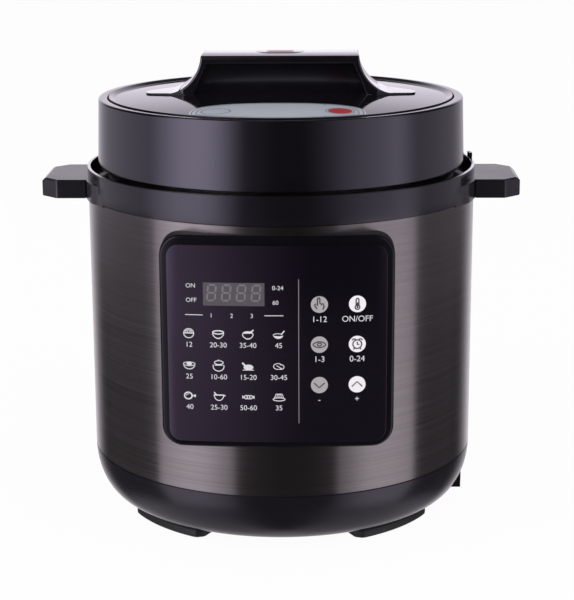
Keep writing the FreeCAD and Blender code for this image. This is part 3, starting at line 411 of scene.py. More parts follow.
COLLAR_RADIUS = 138.4
COLLAR_WALL = 2.2
COLLAR_RIM = 248.7
COLLAR_FOOT = 222.0
FOOT_WALL = 2.0
CREST_EDGE = 0.35
CREST_BAND = 1.0
CREST_LEVEL = 0.8
COLLAR_CHAMFER = 0.4
GUTTER_TOP = 233.5
GUTTER_WALL = 2.5
GUTTER_CORNER = 1.5
WELL_EDGE = 116.2
STOP_TURN = 6.0
STOP_SPAN = 3.4
STOP_DEPTH = 2.0
STOP_ROOT = 6.0
STOP_RISE = 4.0
STOP_INSET = 0.1
STOP_EDGE = 0.6

collar_gloss = moulded(
    "collar plastic", (0.004, 0.0035, 0.005), (0.0065, 0.0055, 0.008), roughness=0.13, spread=0.04,
    grain_size=2.5, depth=0.003, **violet(1.66))
crest_gloss = moulded(
    "crest plastic", (0.005, 0.0045, 0.006), (0.008, 0.007, 0.0095), roughness=0.08, spread=0.03,
    grain_size=2.5, depth=0.001, **{"IOR": 2.0, "Coat Weight": 1.0, "Coat Roughness": 0.05})
collar_inner = COLLAR_RADIUS - COLLAR_WALL
crest_low = COLLAR_RIM - CREST_EDGE
gutter_under = GUTTER_TOP - GUTTER_WALL
collar_foot = [
    (spigot - FOOT_WALL, COLLAR_FOOT), (spigot, COLLAR_FOOT), (spigot, COLLAR_BOTTOM),
    (COLLAR_RADIUS - COLLAR_CHAMFER, COLLAR_BOTTOM), (COLLAR_RADIUS, COLLAR_BOTTOM + COLLAR_CHAMFER)]
outer_crest = arc(COLLAR_RADIUS - CREST_EDGE, crest_low, CREST_EDGE, CREST_EDGE, 0, 90, 4)
inner_crest = arc(collar_inner + CREST_EDGE, crest_low, CREST_EDGE, CREST_EDGE, 90, 180, 4)
gutter = [
    (collar_inner, GUTTER_TOP + GUTTER_CORNER), (collar_inner - GUTTER_CORNER, GUTTER_TOP),
    (WELL_EDGE, GUTTER_TOP), (WELL_EDGE, gutter_under), (spigot - FOOT_WALL, gutter_under)]
collar = lathe(
    "collar", collar_foot + outer_crest + inner_crest + gutter, collar_gloss, "housing", 256)
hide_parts("collar_ring")
collar.data.materials.append(crest_gloss)
for face in collar.data.polygons:
    if face.normal.z > CREST_LEVEL and face.center.z > (COLLAR_RIM - CREST_BAND) * MM:
        face.material_index = 1


def ring_block(name, radius, depth, low, high, middle, span, edge, finish, body):
    """A short block bent round the axis, with its edges broken by a bevel."""
    steps = 6
    form = bmesh.new()
    rows = []
    for i in range(steps + 1):
        t = math.radians(middle + span * (i / steps - 0.5))
        section = [(radius - depth, low), (radius, low), (radius, high), (radius - depth, high)]
        rows.append([form.verts.new(Vector((r * math.cos(t), r * math.sin(t), z)) * MM) for r, z in section])
    for row, after in zip(rows, rows[1:]):
        for i in range(4):
            form.faces.new((row[i], row[i - 1], after[i - 1], after[i]))
    form.faces.new(rows[0])
    form.faces.new(list(reversed(rows[-1])))
    bmesh.ops.bevel(form, geom=sharp_edges(form), offset=edge * MM, segments=3, profile=0.5, affect="EDGES")
    return dressed(from_form(name, form), finish, body, ROUND_CREASE)


ring_block(
    "lid_stop", COLLAR_RADIUS - STOP_INSET, STOP_DEPTH, COLLAR_RIM - STOP_ROOT, COLLAR_RIM + STOP_RISE,
    STOP_TURN, STOP_SPAN, STOP_EDGE, collar_gloss, "housing")


# Side handles: hollow grips of black plastic, satin on top and glossy round the sides.
# They screw on to the collar, and the undersides are ribbed.

GRIP_EDGE = 1.1
GRIP_ROOT = 142.0
GRIP_MIDDLE = 239.0
PAD_RADIUS = 140.4
PAD_FULL = 21.6
PAD_FADE = 3.1
PAD_PROUD = 0.05
PAD_REACH = 0.5
GRIP_LEVEL = 0.99
FLAT_AREA = 100.0
grip_satin = moulded(
    "grip plastic", (0.008, 0.007, 0.009), (0.014, 0.012, 0.016), roughness=0.24, spread=0.06,
    grain_size=0.6, depth=0.004, **violet(1.28))
grip_gloss = moulded(
    "grip skin", (0.010, 0.009, 0.0115), (0.014, 0.0128, 0.016), roughness=0.16, spread=0.05,
    grain_size=1.2, depth=0.003, **violet(1.65))


def grip_edge(first, last):
    """True for the edges of a grip's top and outer corners, clear of its root."""
    return min(abs(first.x), abs(last.x)) > GRIP_ROOT and max(first.z, last.z) > GRIP_MIDDLE


def keep_flat(piece, area):
    """Shades every face over an area flat, so that edges stay crisp beside it."""
    for face in piece.data.polygons:
        face.use_smooth = face.area < area * MM * MM


for hand in ("left", "right"):
    grip = eased(
        hand + "_grip", "side_handle_" + hand, GRIP_EDGE, grip_gloss, "housing",
        picked=grip_edge)
    keep_flat(grip, FLAT_AREA)
    grip.data.materials.append(grip_satin)
    for face in grip.data.polygons:
        if face.normal.z > GRIP_LEVEL:
            face.material_index = 1
    for vertex in grip.data.vertices:
        x, y, z = vertex.co / MM
        past = (math.degrees(math.atan2(abs(y), abs(x))) - PAD_FULL) / PAD_FADE
        limit = PAD_RADIUS - (PAD_RADIUS - COLLAR_RADIUS - PAD_PROUD) * min(max(past, 0), 1)
        if PAD_RADIUS + PAD_REACH > math.hypot(x, y) > limit:
            vertex.co.xy *= limit / math.hypot(x, y)


# Panel housing: a bowed black frame with soft corners, which carries the touch film on its face.
# Its hollow plug never shows, so here it is one block that goes through the drum's wall.

PANEL_MIDDLE = 150.4
PANEL_BEND = 550.0
PANEL_FRONT = 140.0
HOUSING_DEPTH = 27.0
FRAME_HALF_WIDE = 77.0
FRAME_HALF_TALL = 72.0
FRAME_CORNER = 14.0
FRAME_EDGE = 2.0
FRAME_RAISE = 1.0
SIDE_TILT = 0.3
PLATE_CREASE = 35


def plate_outline(half_wide, half_tall, corner, straight=24):
    """A rounded rectangle as matching lower and upper points, from left to right."""
    left = arc(-half_wide + corner, 0, corner, corner, 180, 270, 8)
    runs = [(-half_wide + corner) + 2 * (half_wide - corner) * i / straight for i in range(1, straight)]
    lower = [(x, z - half_tall + corner) for x, z in left] + [(x, -half_tall) for x in runs]
    lower += [(-x, z) for x, z in reversed(lower[:9])]
    return lower + [(x, -z) for x, z in reversed(lower)]


def inset(outline, distance):
    """The outline drawn in by a distance along its own normals."""
    moved = []
    for i, (x, y) in enumerate(outline):
        before, after = outline[i - 1], outline[(i + 1) % len(outline)]
        along = Vector((after[0] - before[0], after[1] - before[1])).normalized()
        moved.append((x - along.y * distance, y + along.x * distance))
    return moved


def plate(name, outline, depth, edge, place, finish, body):
    """A plate whose front edge is rounded; place puts (across, up, height) in the frame."""
    layers = [(0, 0)] + [(edge - a, depth - edge + b) for a, b in arc(0, 0, edge, edge, 0, 90, 5)]
    points, count = [], len(outline)
    for drawn_in, height in layers:
        points += [place(x, y, height) for x, y in inset(outline, drawn_in)]
    faces = []
    for layer in range(len(layers) - 1):
        here, there = layer * count, (layer + 1) * count
        for i in range(count):
            j = (i + 1) % count
            faces.append((here + i, here + j, there + j, there + i))
    for start in (0, (len(layers) - 1) * count):
        for i in range(count // 2 - 1):
            faces.append((start + i, start + i + 1, start + count - 2 - i, start + count - 1 - i))
    return add_piece(name, points, faces, finish, body, PLATE_CREASE)


def panel_point(x, z, out, front=PANEL_FRONT):
    """A point on the bowed face, a distance out of it."""
    bend = PANEL_BEND + front - PANEL_FRONT
    return (x, bend - front - math.sqrt(bend * bend - x * x) - out, PANEL_MIDDLE + z)


def on_housing(x, z, height):
    """A point of the frame, a height above its back."""
    return panel_point(x, z + FRAME_RAISE, height - HOUSING_DEPTH)


frame_gloss = moulded(
    "panel plastic", (0.003, 0.0025, 0.0035), (0.005, 0.0045, 0.006), roughness=0.14, spread=0.04,
    grain_size=2.5, depth=0.003, **violet(1.42))
housing = plate(
    "panel_frame", plate_outline(FRAME_HALF_WIDE, FRAME_HALF_TALL, FRAME_CORNER), HOUSING_DEPTH, FRAME_EDGE,
    on_housing, frame_gloss, "housing")
housing.data.materials.append(socket_matt)
for face in housing.data.polygons:
    if abs(face.normal.y) < SIDE_TILT:
        face.material_index = 1
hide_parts("panel_housing")


# Control film: a glossy sheet, near black with a plum tint and a painted reflection on its left, glued to the
# housing's face.
# The real one is clear and printed on its back. This one is opaque, so its print lies on it.

FILM_FRONT = 141.0
FILM_DEPTH = 1.0
FILM_HALF_WIDE = 72.0
FILM_HALF_TALL = 66.7
FILM_CORNER = 8.0
FILM_EDGE = 0.25


def film_with_painted_reflection():
    material, shader, wire = new_finish("touch film with painted reflection", {"IOR": 1.8, "Specular Tint": (0.85, 0.7, 1.0, 1.0)})
    place = wire.node("ShaderNodeTexCoord", {}, {}, "Object")
    across = wire.node("ShaderNodeSeparateXYZ", {}, {0: place}, 0)
    # Painted reflection: the base colour turns a lighter plum towards the film's left, standing in for a
    # softbox's light seen in it.
    side = wire.node("ShaderNodeMapRange", {"interpolation_type": "SMOOTHSTEP"}, {
        0: across + 0.03 * (grain(wire, 9.0) - 0.5), 1: 0.03, 2: -0.085, 3: 0.0, 4: 1.0})
    side.blend((0.004, 0.0028, 0.0058, 1), (0.030, 0.021, 0.036, 1)).into(shader, "Base Color")
    fine = grain(wire, 1400.0)
    (0.16 + 0.06 * (fine - 0.5)).into(shader, "Roughness")
    fine.emboss(shader, 0.3, 0.002)
    return material


def in_film(x, z, height):
    """A point of the film, a height above its back."""
    return panel_point(x, z, height - FILM_DEPTH, FILM_FRONT)


film = plate(
    "film", plate_outline(FILM_HALF_WIDE, FILM_HALF_TALL, FILM_CORNER), FILM_DEPTH, FILM_EDGE, in_film,
    film_with_painted_reflection(), "housing")
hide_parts("control_film")


# Print of the film: signs, numbers, lines and the display's window, screened in white and grey.
# The white and grey print and the six round keys carry a painted glow, the right column of keys the most; the
# display's digits are off.

LINE = 0.6
KEY_LINE = 0.8
PRINT_OUT = 0.06
TOP_PRINT_OUT = 0.12
KEY_RADIUS = 5.6
KEY_COLUMNS = (27.7, 52.5)
KEY_ROWS = (178.0, 150.9, 123.3)
SIGN_COLUMNS = (-58.0, -38.6, -19.1, 1.1)
SIGN_ROWS = (158.0, 136.2, 115.2)
DISPLAY = (-48.2, 177.0, -8.0, 192.5)
TIME_DROP = 9.2
TIME_SIZE = 4.9
LABEL_DROP = 11.8
LABEL_SIZE = 5.6
STATE_SIZE = 4.1
RULE_LEVEL = 170.6
DIVIDER = 14.2
DIVIDER_LOW = 97.0
DIVIDER_TOP = 195.0
FINE_LINE = 0.5
DIGIT_PITCH = 9.7
DIGIT_LINE = 1.1
DIGIT_LEAN = 0.1
DIGIT_START = 5.6
DIGIT_RISE = 8.7
DIGIT_HALF = 2.6
SEGMENT_HALF = 2.0


class Ink:
    """Flat shapes in millimetres across and up, to be laid on a surface as one piece."""

    def __init__(self):
        self.points = []
        self.faces = []

    def fill(self, outline):
        outline = [tuple(p) for p in outline]
        area = sum(a[0] * b[1] - b[0] * a[1] for a, b in zip(outline, outline[1:] + outline[:1]))
        start = len(self.points)
        self.points += outline if area > 0 else outline[::-1]
        self.faces.append(tuple(range(start, start + len(outline))))

    def line(self, path, width=LINE, closed=False):
        sides = []
        for i, point in enumerate(path):
            before = path[i - 1] if closed or i else point
            after = path[(i + 1) % len(path)] if closed or i + 1 < len(path) else point
            along = (Vector(after) - Vector(before)).normalized()
            across = Vector((-along.y, along.x)) * width / 2
            sides.append((Vector(point) + across, Vector(point) - across))
        for here, there in zip(sides, sides[1:] + sides[:1] * closed):
            self.fill([here[0], here[1], there[1], there[0]])

    def bar(self, x, z, half, width=LINE):
        self.line([(x - half, z), (x + half, z)], width)

    def ring(self, x, z, wide, tall, width=LINE):
        self.line(arc(x, z, wide, tall, 0, 360, 28)[:-1], width, True)

    def disc(self, x, z, wide, tall):
        self.fill(arc(x, z, wide, tall, 0, 360, 40)[:-1])

    def words(self, text, x, z, size):
        letters = bpy.data.curves.new("letters", "FONT")
        letters.body = text
        letters.size = size
        letters.align_x = "CENTER"
        holder = placed("letters", letters)
        graph = bpy.context.evaluated_depsgraph_get()
        mesh = bpy.data.meshes.new_from_object(holder.evaluated_get(graph))
        for face in mesh.polygons:
            corners = [mesh.vertices[i].co for i in face.vertices]
            self.fill([(x + c.x, z + c.y) for c in corners])
        bpy.data.objects.remove(holder)

    def lay(self, name, finish, place, body, slot):
        """The shapes as one piece, each point put in its place on a surface."""
        points = [place(*point) for point in self.points]
        return add_piece(name, points, self.faces, finish, body, solid=False)


def on_film(name, ink, finish, out=PRINT_OUT):
    """Lays ink on the bowed face of the film."""
    ink.lay(
        name, finish, lambda x, z: panel_point(x, z - PANEL_MIDDLE, out, FILM_FRONT), "housing", "panel_film")


def screen_ink(name, dark, light, glow):
    """Matt ink of uneven thickness, with a painted glow in its own colour where one is given."""
    material, shader, wire = new_finish(name, {"Roughness": 0.5, "Emission Strength": glow})
    cloud = grain(wire, 420.0)
    tint = cloud.blend((*dark, 1), (*light, 1))
    tint.into(shader, "Base Color")
    tint.into(shader, "Emission Color")
    return material


white = Ink()
# A heaped bowl seen from the front
x, z = SIGN_COLUMNS[0], SIGN_ROWS[0]
white.ring(x, z, 3.3, 3.1)
white.line(arc(x, z + 0.3, 2.3, 1.9, 20, 160))
white.bar(x, z + 0.2, 3.1, 0.8)
white.disc(x - 0.7, z + 1.1, 0.4, 0.4)
white.disc(x + 0.8, z + 1.2, 0.4, 0.4)
# A wide bowl
x = SIGN_COLUMNS[1]
white.ring(x, z + 1.0, 3.6, 1.1, 0.8)
white.line(arc(x, z + 1.0, 3.7, 4.0, 190, 350, 20))
white.bar(x, z - 3.1, 1.3)
# A full bowl with a spoon
x = SIGN_COLUMNS[2]
white.fill(arc(x, z + 0.4, 3.5, 1.7, 0, 180, 16))
white.line(arc(x, z + 0.2, 3.5, 3.3, 180, 360, 20))
white.line([(x + 1.8, z + 1.5), (x + 3.8, z + 2.9)], 0.9)
white.bar(x, z - 3.2, 1.3)
# A ladle
x = SIGN_COLUMNS[3]
white.fill(arc(x - 0.3, z - 0.6, 3.2, 2.4, 180, 360, 16) + arc(x - 0.3, z - 0.6, 3.2, 0.6, 0, -180, 16)[1:-1])
white.line(arc(x - 0.3, z - 0.4, 3.3, 0.9, 60, 200, 12), 0.45)
white.line([(x + 1.6, z - 0.2), (x + 3.7, z + 2.4)], 0.8)
# A dish with a cut on it
x, z = SIGN_COLUMNS[0], SIGN_ROWS[1]
white.ring(x, z + 0.9, 3.9, 1.3, 0.5)
white.disc(x, z + 1.0, 1.9, 1.1)
white.line(arc(x, z + 0.8, 3.8, 3.4, 195, 345, 18))
# A pot with its lid held over it
x = SIGN_COLUMNS[1]
white.ring(x + 0.2, z + 2.2, 2.9, 1.3)
white.disc(x + 0.2, z + 3.8, 0.5, 0.5)
white.line(arc(x, z - 0.4, 3.6, 3.2, 160, 380, 26))
white.bar(x, z + 0.5, 2.6)
# A roast on its board
x = SIGN_COLUMNS[2]
white.fill(arc(x + 0.2, z - 0.7, 3.2, 1.9, 0, 360, 24)[:-1])
white.line([(x - 1.8, z + 0.2), (x - 3.3, z + 1.9)], 1.1)
white.disc(x - 3.4, z + 1.9, 0.7, 0.7)
white.line([(x - 3.6, z - 2.6), (x + 3.8, z - 2.6)], 0.5)
# A fillet
x = SIGN_COLUMNS[3]
white.line(arc(x - 0.6, z, 2.9, 2.0, 20, 330, 22), 0.5)
white.line(arc(x + 1.4, z - 0.4, 2.0, 1.6, -120, 110, 14), 0.5)
white.line([(x - 1.6, z + 0.6), (x + 1.9, z - 1.5)], 0.5)
# A drumstick
x, z = SIGN_COLUMNS[0], SIGN_ROWS[2]
white.ring(x - 1.0, z, 2.5, 2.3, 0.9)
white.line(arc(x - 1.0, z + 0.2, 1.2, 1.0, 60, 200, 8), 0.4)
white.line([(x + 1.4, z), (x + 3.2, z)], 0.9)
white.disc(x + 3.5, z + 0.4, 0.6, 0.6)
white.disc(x + 3.5, z - 0.4, 0.6, 0.6)
# A tureen with its ladle
x = SIGN_COLUMNS[1]
white.bar(x, z + 0.9, 3.5, 0.8)
white.line(arc(x, z + 0.8, 3.1, 3.6, 180, 360, 20))
white.line([(x - 1.6, z + 1.0), (x - 3.2, z + 2.9)], 0.8)
white.line([(x + 3.4, z + 0.9), (x + 4.2, z + 0.2)], 0.8)
# Three rounds between two ties
x = SIGN_COLUMNS[2]
for shift in (-1.6, 0, 1.6):
    white.ring(x + shift, z - 0.2, 1.0, 1.2)
white.fill([(x - 2.5, z - 0.2), (x - 4.1, z + 1.1), (x - 3.9, z - 1.4)])
white.fill([(x + 2.5, z - 0.2), (x + 3.9, z + 1.1), (x + 4.1, z - 1.4)])
# A ridged sponge on a plate
x = SIGN_COLUMNS[3]
white.line([(x - 3.1, z - 0.9), (x - 2.0, z + 2.0), (x + 2.0, z + 2.0), (x + 3.1, z - 0.9)])
for shift in (-1, 0, 1):
    white.line([(x + 1.6 * shift, z - 1.0), (x + 1.1 * shift, z + 1.8)], 0.5)
white.ring(x, z - 1.6, 3.9, 1.1)

cooking_times = (
    ("12", "20-30", "35-40", "45"), ("25", "10-60", "15-20", "30-45"), ("40", "25-30", "50-60", "35"))
for row, times in zip(SIGN_ROWS, cooking_times):
    for column, minutes in zip(SIGN_COLUMNS, times):
        white.words(minutes, column, row - TIME_DROP, TIME_SIZE)
for label, x, z in (
        ("ON", -56.3, 188.9), ("OFF", -56.0, 179.2), ("0-24", 0.6, 187.8), ("60", -0.9, 178.0),
        ("1", -43.0, 169.0), ("2", -29.6, 169.0), ("3", -16.4, 169.0)):
    white.words(label, x, z, STATE_SIZE)
for row, labels in zip(KEY_ROWS, (("1-12", "ON/OFF"), ("1-3", "0-24"), ("-", "+"))):
    for column, label in zip(KEY_COLUMNS, labels):
        white.words(label, column, row - LABEL_DROP, LABEL_SIZE)
for start, end in ((-60.2, -48.5), (-8.1, 4.3)):
    white.line([(start, RULE_LEVEL), (end, RULE_LEVEL)], FINE_LINE)
# The white print is given a painted glow.
on_film("white_print", white, screen_ink("white ink", (0.54, 0.53, 0.56), (0.7, 0.69, 0.72), glow=0.1))

divider = Ink()
divider.line([(DIVIDER, DIVIDER_LOW), (DIVIDER, DIVIDER_TOP)], 0.55)
# The divider has a faint painted glow.
on_film("divider", divider, screen_ink("grey ink", (0.16, 0.15, 0.17), (0.22, 0.21, 0.23), glow=0.02))

# Painted glow: the keys glow with no lamp behind them, the right column lighter and brighter than the left.
for name, column, tint, glow in (("keys_left", 0, 0.36, 0.08), ("keys_right", 1, 0.7, 0.22)):
    keys = Ink()
    for row in KEY_ROWS:
        keys.disc(KEY_COLUMNS[column], row, KEY_RADIUS, KEY_RADIUS)
    darker, lighter = (tint, tint * 0.93, tint), (tint * 1.06, tint, tint * 1.06)
    on_film(name, keys, screen_ink(name.replace("_", " "), darker, lighter, glow))

signs = Ink()
# A pointing hand
x, z = KEY_COLUMNS[0], KEY_ROWS[0]
thumb = [(-1.6, -3.0), (-3.4, -0.2), (-2.5, 0.4), (-1.3, -0.8), (-1.3, 3.6)]
palm = [(0.3, 3.6), (0.3, 0.6), (2.6, 0.4), (3.0, -1.6), (2.2, -3.4)]
for outline in (thumb, palm):
    signs.line([(x + across, z + up) for across, up in outline], KEY_LINE)
signs.line(arc(x - 0.5, z + 3.6, 0.8, 0.8, 180, 0, 8), KEY_LINE)
signs.line([(x + 1.3, z + 0.5), (x + 1.3, z - 0.6)], 0.7)
# A thermometer
x = KEY_COLUMNS[1]
tube = arc(x, z + 2.8, 0.9, 0.9, 180, 0, 8)
signs.ring(x, z - 2.2, 1.5, 1.5, KEY_LINE)
signs.disc(x, z - 2.2, 0.7, 0.7)
signs.line([(x - 0.9, z - 1.1), (x - 0.9, z + 2.8)] + tube + [(x + 0.9, z - 1.1)], KEY_LINE)
signs.line([(x, z - 2.0), (x, z + 1.0)], KEY_LINE)
# A dish with an open middle
x, z = KEY_COLUMNS[0], KEY_ROWS[1]
signs.line(arc(x, z - 2.6, 5.2, 4.6, 35, 145, 14), 0.7)
signs.line(arc(x, z + 2.6, 5.2, 4.6, -145, -35, 14), 0.7)
signs.ring(x, z + 0.1, 1.3, 1.0, 0.7)
# An alarm clock
x = KEY_COLUMNS[1]
signs.ring(x, z - 0.1, 2.9, 2.9, KEY_LINE)
signs.line([(x, z + 1.6), (x, z - 0.3), (x + 1.3, z - 0.3)], KEY_LINE)
for way in (-1, 1):
    signs.line(arc(x + way * 2.1, z + 2.2, 1.3, 1.3, 90 - way * 75, 90 + way * 75, 8), KEY_LINE)
    signs.line([(x + way * 1.7, z - 2.6), (x + way * 2.5, z - 3.6)], KEY_LINE)
# Chevrons down and up
for column, way in zip(KEY_COLUMNS, (-1, 1)):
    z = KEY_ROWS[2] + way * 0.2
    base_level = z - way * 1.6
    signs.line([(column - 3.4, base_level), (column, z + way * 1.7), (column + 3.4, base_level)], KEY_LINE)
black_ink = screen_ink("black ink", (0.02, 0.02, 0.022), (0.035, 0.035, 0.037), glow=0.0)
on_film("key_signs", signs, black_ink, TOP_PRINT_OUT)

left, low, right, high = DISPLAY
window = Ink()
for i in range(8):
    start, end = (left + (right - left) * (i + k) / 8 for k in (0, 1))
    window.fill([(start, low), (end, low), (end, high), (start, high)])
on_film("display", window, screen_ink("display filter", (0.075, 0.066, 0.08), (0.095, 0.083, 0.1), glow=0.0))
digits = Ink()
z = low + DIGIT_RISE
for i in range(4):
    x = left + DIGIT_START + DIGIT_PITCH * i
    for up in (DIGIT_HALF, -DIGIT_HALF):
        for across in (-DIGIT_HALF, DIGIT_HALF):
            lean = x + across + DIGIT_LEAN * up
            stroke = [(lean + DIGIT_LEAN * end, z + up + end) for end in (-SEGMENT_HALF, SEGMENT_HALF)]
            digits.line(stroke, DIGIT_LINE)
    for up in (-2 * DIGIT_HALF, 0, 2 * DIGIT_HALF):
        digits.bar(x + DIGIT_LEAN * up, z + up, SEGMENT_HALF, DIGIT_LINE)
digit_ink = screen_ink("digit ink", (0.16, 0.15, 0.165), (0.2, 0.19, 0.205), glow=0.0)
on_film("display_digits", digits, digit_ink, TOP_PRINT_OUT)


# Inner pot: a drawn stainless bowl with a flat rim, lightly brushed all round.
# It stands on the heating plate and lifts out.

POT_RADIUS = 111.5
POT_WALL = 1.2
POT_FLOOR = 89.0
POT_CORNER = 13.5
RIM_TOP = 245.5
RIM_RADIUS = 117.0
RIM_HALF = 0.75

satin = plated(
    "satin stainless", (0.46, 0.45, 0.43), (0.62, 0.61, 0.59), roughness=0.26,
    scratch=(7, 7, 520), **{"Anisotropic": 0.4})
foot = POT_RADIUS - POT_CORNER
heel = POT_FLOOR + POT_CORNER
hollow = POT_CORNER - POT_WALL
pot_outside = [(0, POT_FLOOR)] + arc(foot, heel, POT_CORNER, POT_CORNER, -90, 0)
pot_rim = arc(POT_RADIUS + RIM_HALF, RIM_TOP - 3 * RIM_HALF, RIM_HALF, RIM_HALF, 180, 90, 4) + arc(
    RIM_RADIUS - RIM_HALF, RIM_TOP - RIM_HALF, RIM_HALF, RIM_HALF, -90, 90, 6) + arc(
    POT_RADIUS, RIM_TOP - POT_WALL, POT_WALL, POT_WALL, 90, 180, 5)
pot_inside = arc(foot, heel, hollow, hollow, 0, -90) + [(0, POT_FLOOR + POT_WALL)]
pot = lathe("pot", pot_outside + pot_rim + pot_inside, satin, "inner_pot", 192, ROUND_CREASE)
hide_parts("inner_pot")


# Sealing ring: a lipped ring of pale silicone that the wire rack holds in the lid.
# It closes the gap between the pot's rim and the pressure plate.

silicone = moulded(
    "silicone", (0.52, 0.51, 0.48), (0.6, 0.59, 0.56), roughness=0.42, spread=0.1,
    grain_size=0.8, depth=0.01, **{"Subsurface Weight": 0.2})
eased("seal", "sealing_ring", 0.8, silicone, "lid_seal")
eased("gasket", "float_gasket", 0.4, silicone, "float_valve")


# Pressure plate: the lid's pressed steel dish, with bayonet lugs turned in round its skirt.
# The ring rack, the exhaust's strainer and its nozzle are fixed to it.

pressed = plated(
    "pressed stainless", (0.5, 0.49, 0.47), (0.64, 0.63, 0.61), roughness=0.24,
    scratch=(90, 90, 90))
eased("pressure_dish", "lid_pressure_plate", 0.35, pressed, "lid", 25)
eased("rack", "ring_rack", 0.5, pressed, "lid")
eased("strainer", "strainer_cap", 0.3, pressed, "lid")
dress(pressed, "exhaust_nozzle")


# Lid shell: a deep cap of glossy black plastic with a crisp rim and a sunk deck.
# It is screwed to the pressure plate, and holes in the deck pass the valves and the button's stem.

LID_RADIUS = 129.2
LID_LOW_RADIUS = 130.6
LID_UNDER = 249.6
LID_TOP = 296.5
LID_EDGE = 1.4
LID_WALL = 2.4
LID_LIP = 0.8
LID_RIM_INNER = 122.9
DECK_TOP = 290.5
DECK_UNDER = 288.0
STEM_HOLE = 4.0
VALVE_PLACE = (0.0, 95.4)
VALVE_HOLE = 15.0
FLOAT_PLACE = (-38.0, 88.4)
FLOAT_HOLE = 3.5
HOLE_PAST = 2.0


def rod(x, y, radius, low, high, steps=48):
    """Points and faces of a round bar, for cutting holes."""
    turns = [2 * math.pi * i / steps for i in range(steps)]
    ring = [(x + radius * math.cos(t), y + radius * math.sin(t)) for t in turns]
    points = [(*p, low) for p in ring] + [(*p, high) for p in ring]
    sides = [(i, (i + 1) % steps, (i + 1) % steps + steps, i + steps) for i in range(steps)]
    return points, sides + [tuple(range(steps))[::-1], tuple(range(steps, 2 * steps))]


lid_gloss = moulded(
    "lid plastic", (0.0035, 0.003, 0.0045), (0.006, 0.005, 0.0075), roughness=0.12, spread=0.03,
    grain_size=4.0, depth=0.003, **violet(1.85))
inner_wall = LID_RADIUS - LID_WALL
skirt = [
    (inner_wall, LID_UNDER), (LID_LOW_RADIUS - LID_LIP, LID_UNDER), (LID_LOW_RADIUS, LID_UNDER + LID_LIP)]
lid_rim = arc(LID_RADIUS - LID_EDGE, LID_TOP - LID_EDGE, LID_EDGE, LID_EDGE, 0, 90, 10) + arc(
    LID_RIM_INNER + LID_LIP, LID_TOP - LID_LIP, LID_LIP, LID_LIP, 90, 180, 4)
deck = [(LID_RIM_INNER, DECK_TOP), (0, DECK_TOP), (0, DECK_UNDER), (inner_wall, DECK_UNDER)]
lid = lathe("lid_cap", skirt + lid_rim + deck, lid_gloss, "lid", 256, ROUND_CREASE)
for place, radius in (((0, 0), STEM_HOLE), (VALVE_PLACE, VALVE_HOLE), (FLOAT_PLACE, FLOAT_HOLE)):
    carve(lid, *rod(*place, radius, DECK_UNDER - HOLE_PAST, DECK_TOP + HOLE_PAST))
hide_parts("lid_shell")


# Top cover: a gently domed disc of polished black plastic, clipped on the deck inside the rim.
# A narrow groove is left round it, and its edge stands up as a shallow lip.

COVER_RADIUS = 121.9
COVER_EDGE = 295.2
COVER_RISE = 5.8
COVER_WALL = 2.2
LIP_TOP = 297.2
LIP_INNER = 117.2
LIP_EDGE = 0.5
LIP_FALL = 1.48
LIP_SLOPE = 0.4
LIP_CREASE = 6
RING_PITCH = 7.6
RINGS = 15
UNDER_RINGS = (0, 40, 80)
VENT_HOLE = 5.0
PIN_HOLE = 3.2
COVER_PAST = 9.0
DOME = (COVER_RADIUS ** 2 + COVER_RISE ** 2) / (2 * COVER_RISE)


def dome(radius):
    """Height of the cover's top at a radius."""
    return COVER_EDGE + COVER_RISE - DOME + math.sqrt(DOME * DOME - radius * radius)


cover_gloss = moulded(
    "cover plastic", (0.004, 0.0035, 0.005), (0.007, 0.006, 0.008), roughness=0.06, spread=0.02,
    grain_size=4.0, depth=0.001, **violet(1.6))
cover_inner = COVER_RADIUS - COVER_WALL
lip = [(COVER_RADIUS, DECK_TOP)] + arc(
    COVER_RADIUS - LIP_EDGE, LIP_TOP - LIP_EDGE, LIP_EDGE, LIP_EDGE, 0, 90, 5) + [
    (LIP_INNER + LIP_SLOPE, LIP_TOP - LIP_FALL)]
cover_top = [(r, dome(r)) for r in [LIP_INNER - RING_PITCH * i for i in range(RINGS)] + [0]]
cover_under = [(r, dome(r) - COVER_WALL) for r in (*UNDER_RINGS, cover_inner)] + [(cover_inner, DECK_TOP)]
cover = lathe("cover", lip + cover_top + cover_under, cover_gloss, "lid", 256, LIP_CREASE)
for place, radius in (((0, 0), STEM_HOLE), (VALVE_PLACE, VENT_HOLE), (FLOAT_PLACE, PIN_HOLE)):
    carve(cover, *rod(*place, radius, DECK_TOP, LID_TOP + COVER_PAST), crease=LIP_CREASE)
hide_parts("lid_top_cover")


# Lens plate: a bare leaf of silvered film, glued on the cover in front of the handle.
# Fine lines run round it, with a plain oval on its left and a red spot on its right.

LEAF_HALF = 58.5
LEAF_TIP = -97.0
LEAF_BULGE = 30.5
LEAF_FRONT = 114.6
LEAF_THICK = 0.25
LEAF_ROWS = 8
LEAF_BORDERS = (0.8, 2.4)
LEAF_RULE = ((31.5, -109.5), (31.5, -69.5))
OVAL_PLACE = (-41.0, -91.5)
OVAL_WIDE = 9.7
OVAL_TALL = 8.2
SPOT_PLACE = (41.3, -90.5)
SPOT_RADIUS = 8.2
SPOT_RING = 9.6


def leaf_outline(margin, steps=40):
    """The back edge and the front edge of the leaf as matching points, drawn in by a margin."""
    half = LEAF_HALF - 2 * margin
    across = [half * math.sin(math.pi * (i / steps - 0.5)) for i in range(steps + 1)]
    back = [(x, LEAF_TIP + (LEAF_BULGE - margin) * (1 - abs(x / half) ** 3) ** (1 / 3)) for x in across]
    front = [(x, -math.sqrt((LEAF_FRONT - margin) ** 2 - x * x)) for x in across]
    return back, front


def on_cover(x, y, out=LEAF_THICK):
    """A point on the dome, a distance above it."""
    return (x, y, dome(math.hypot(x, y)) + out)


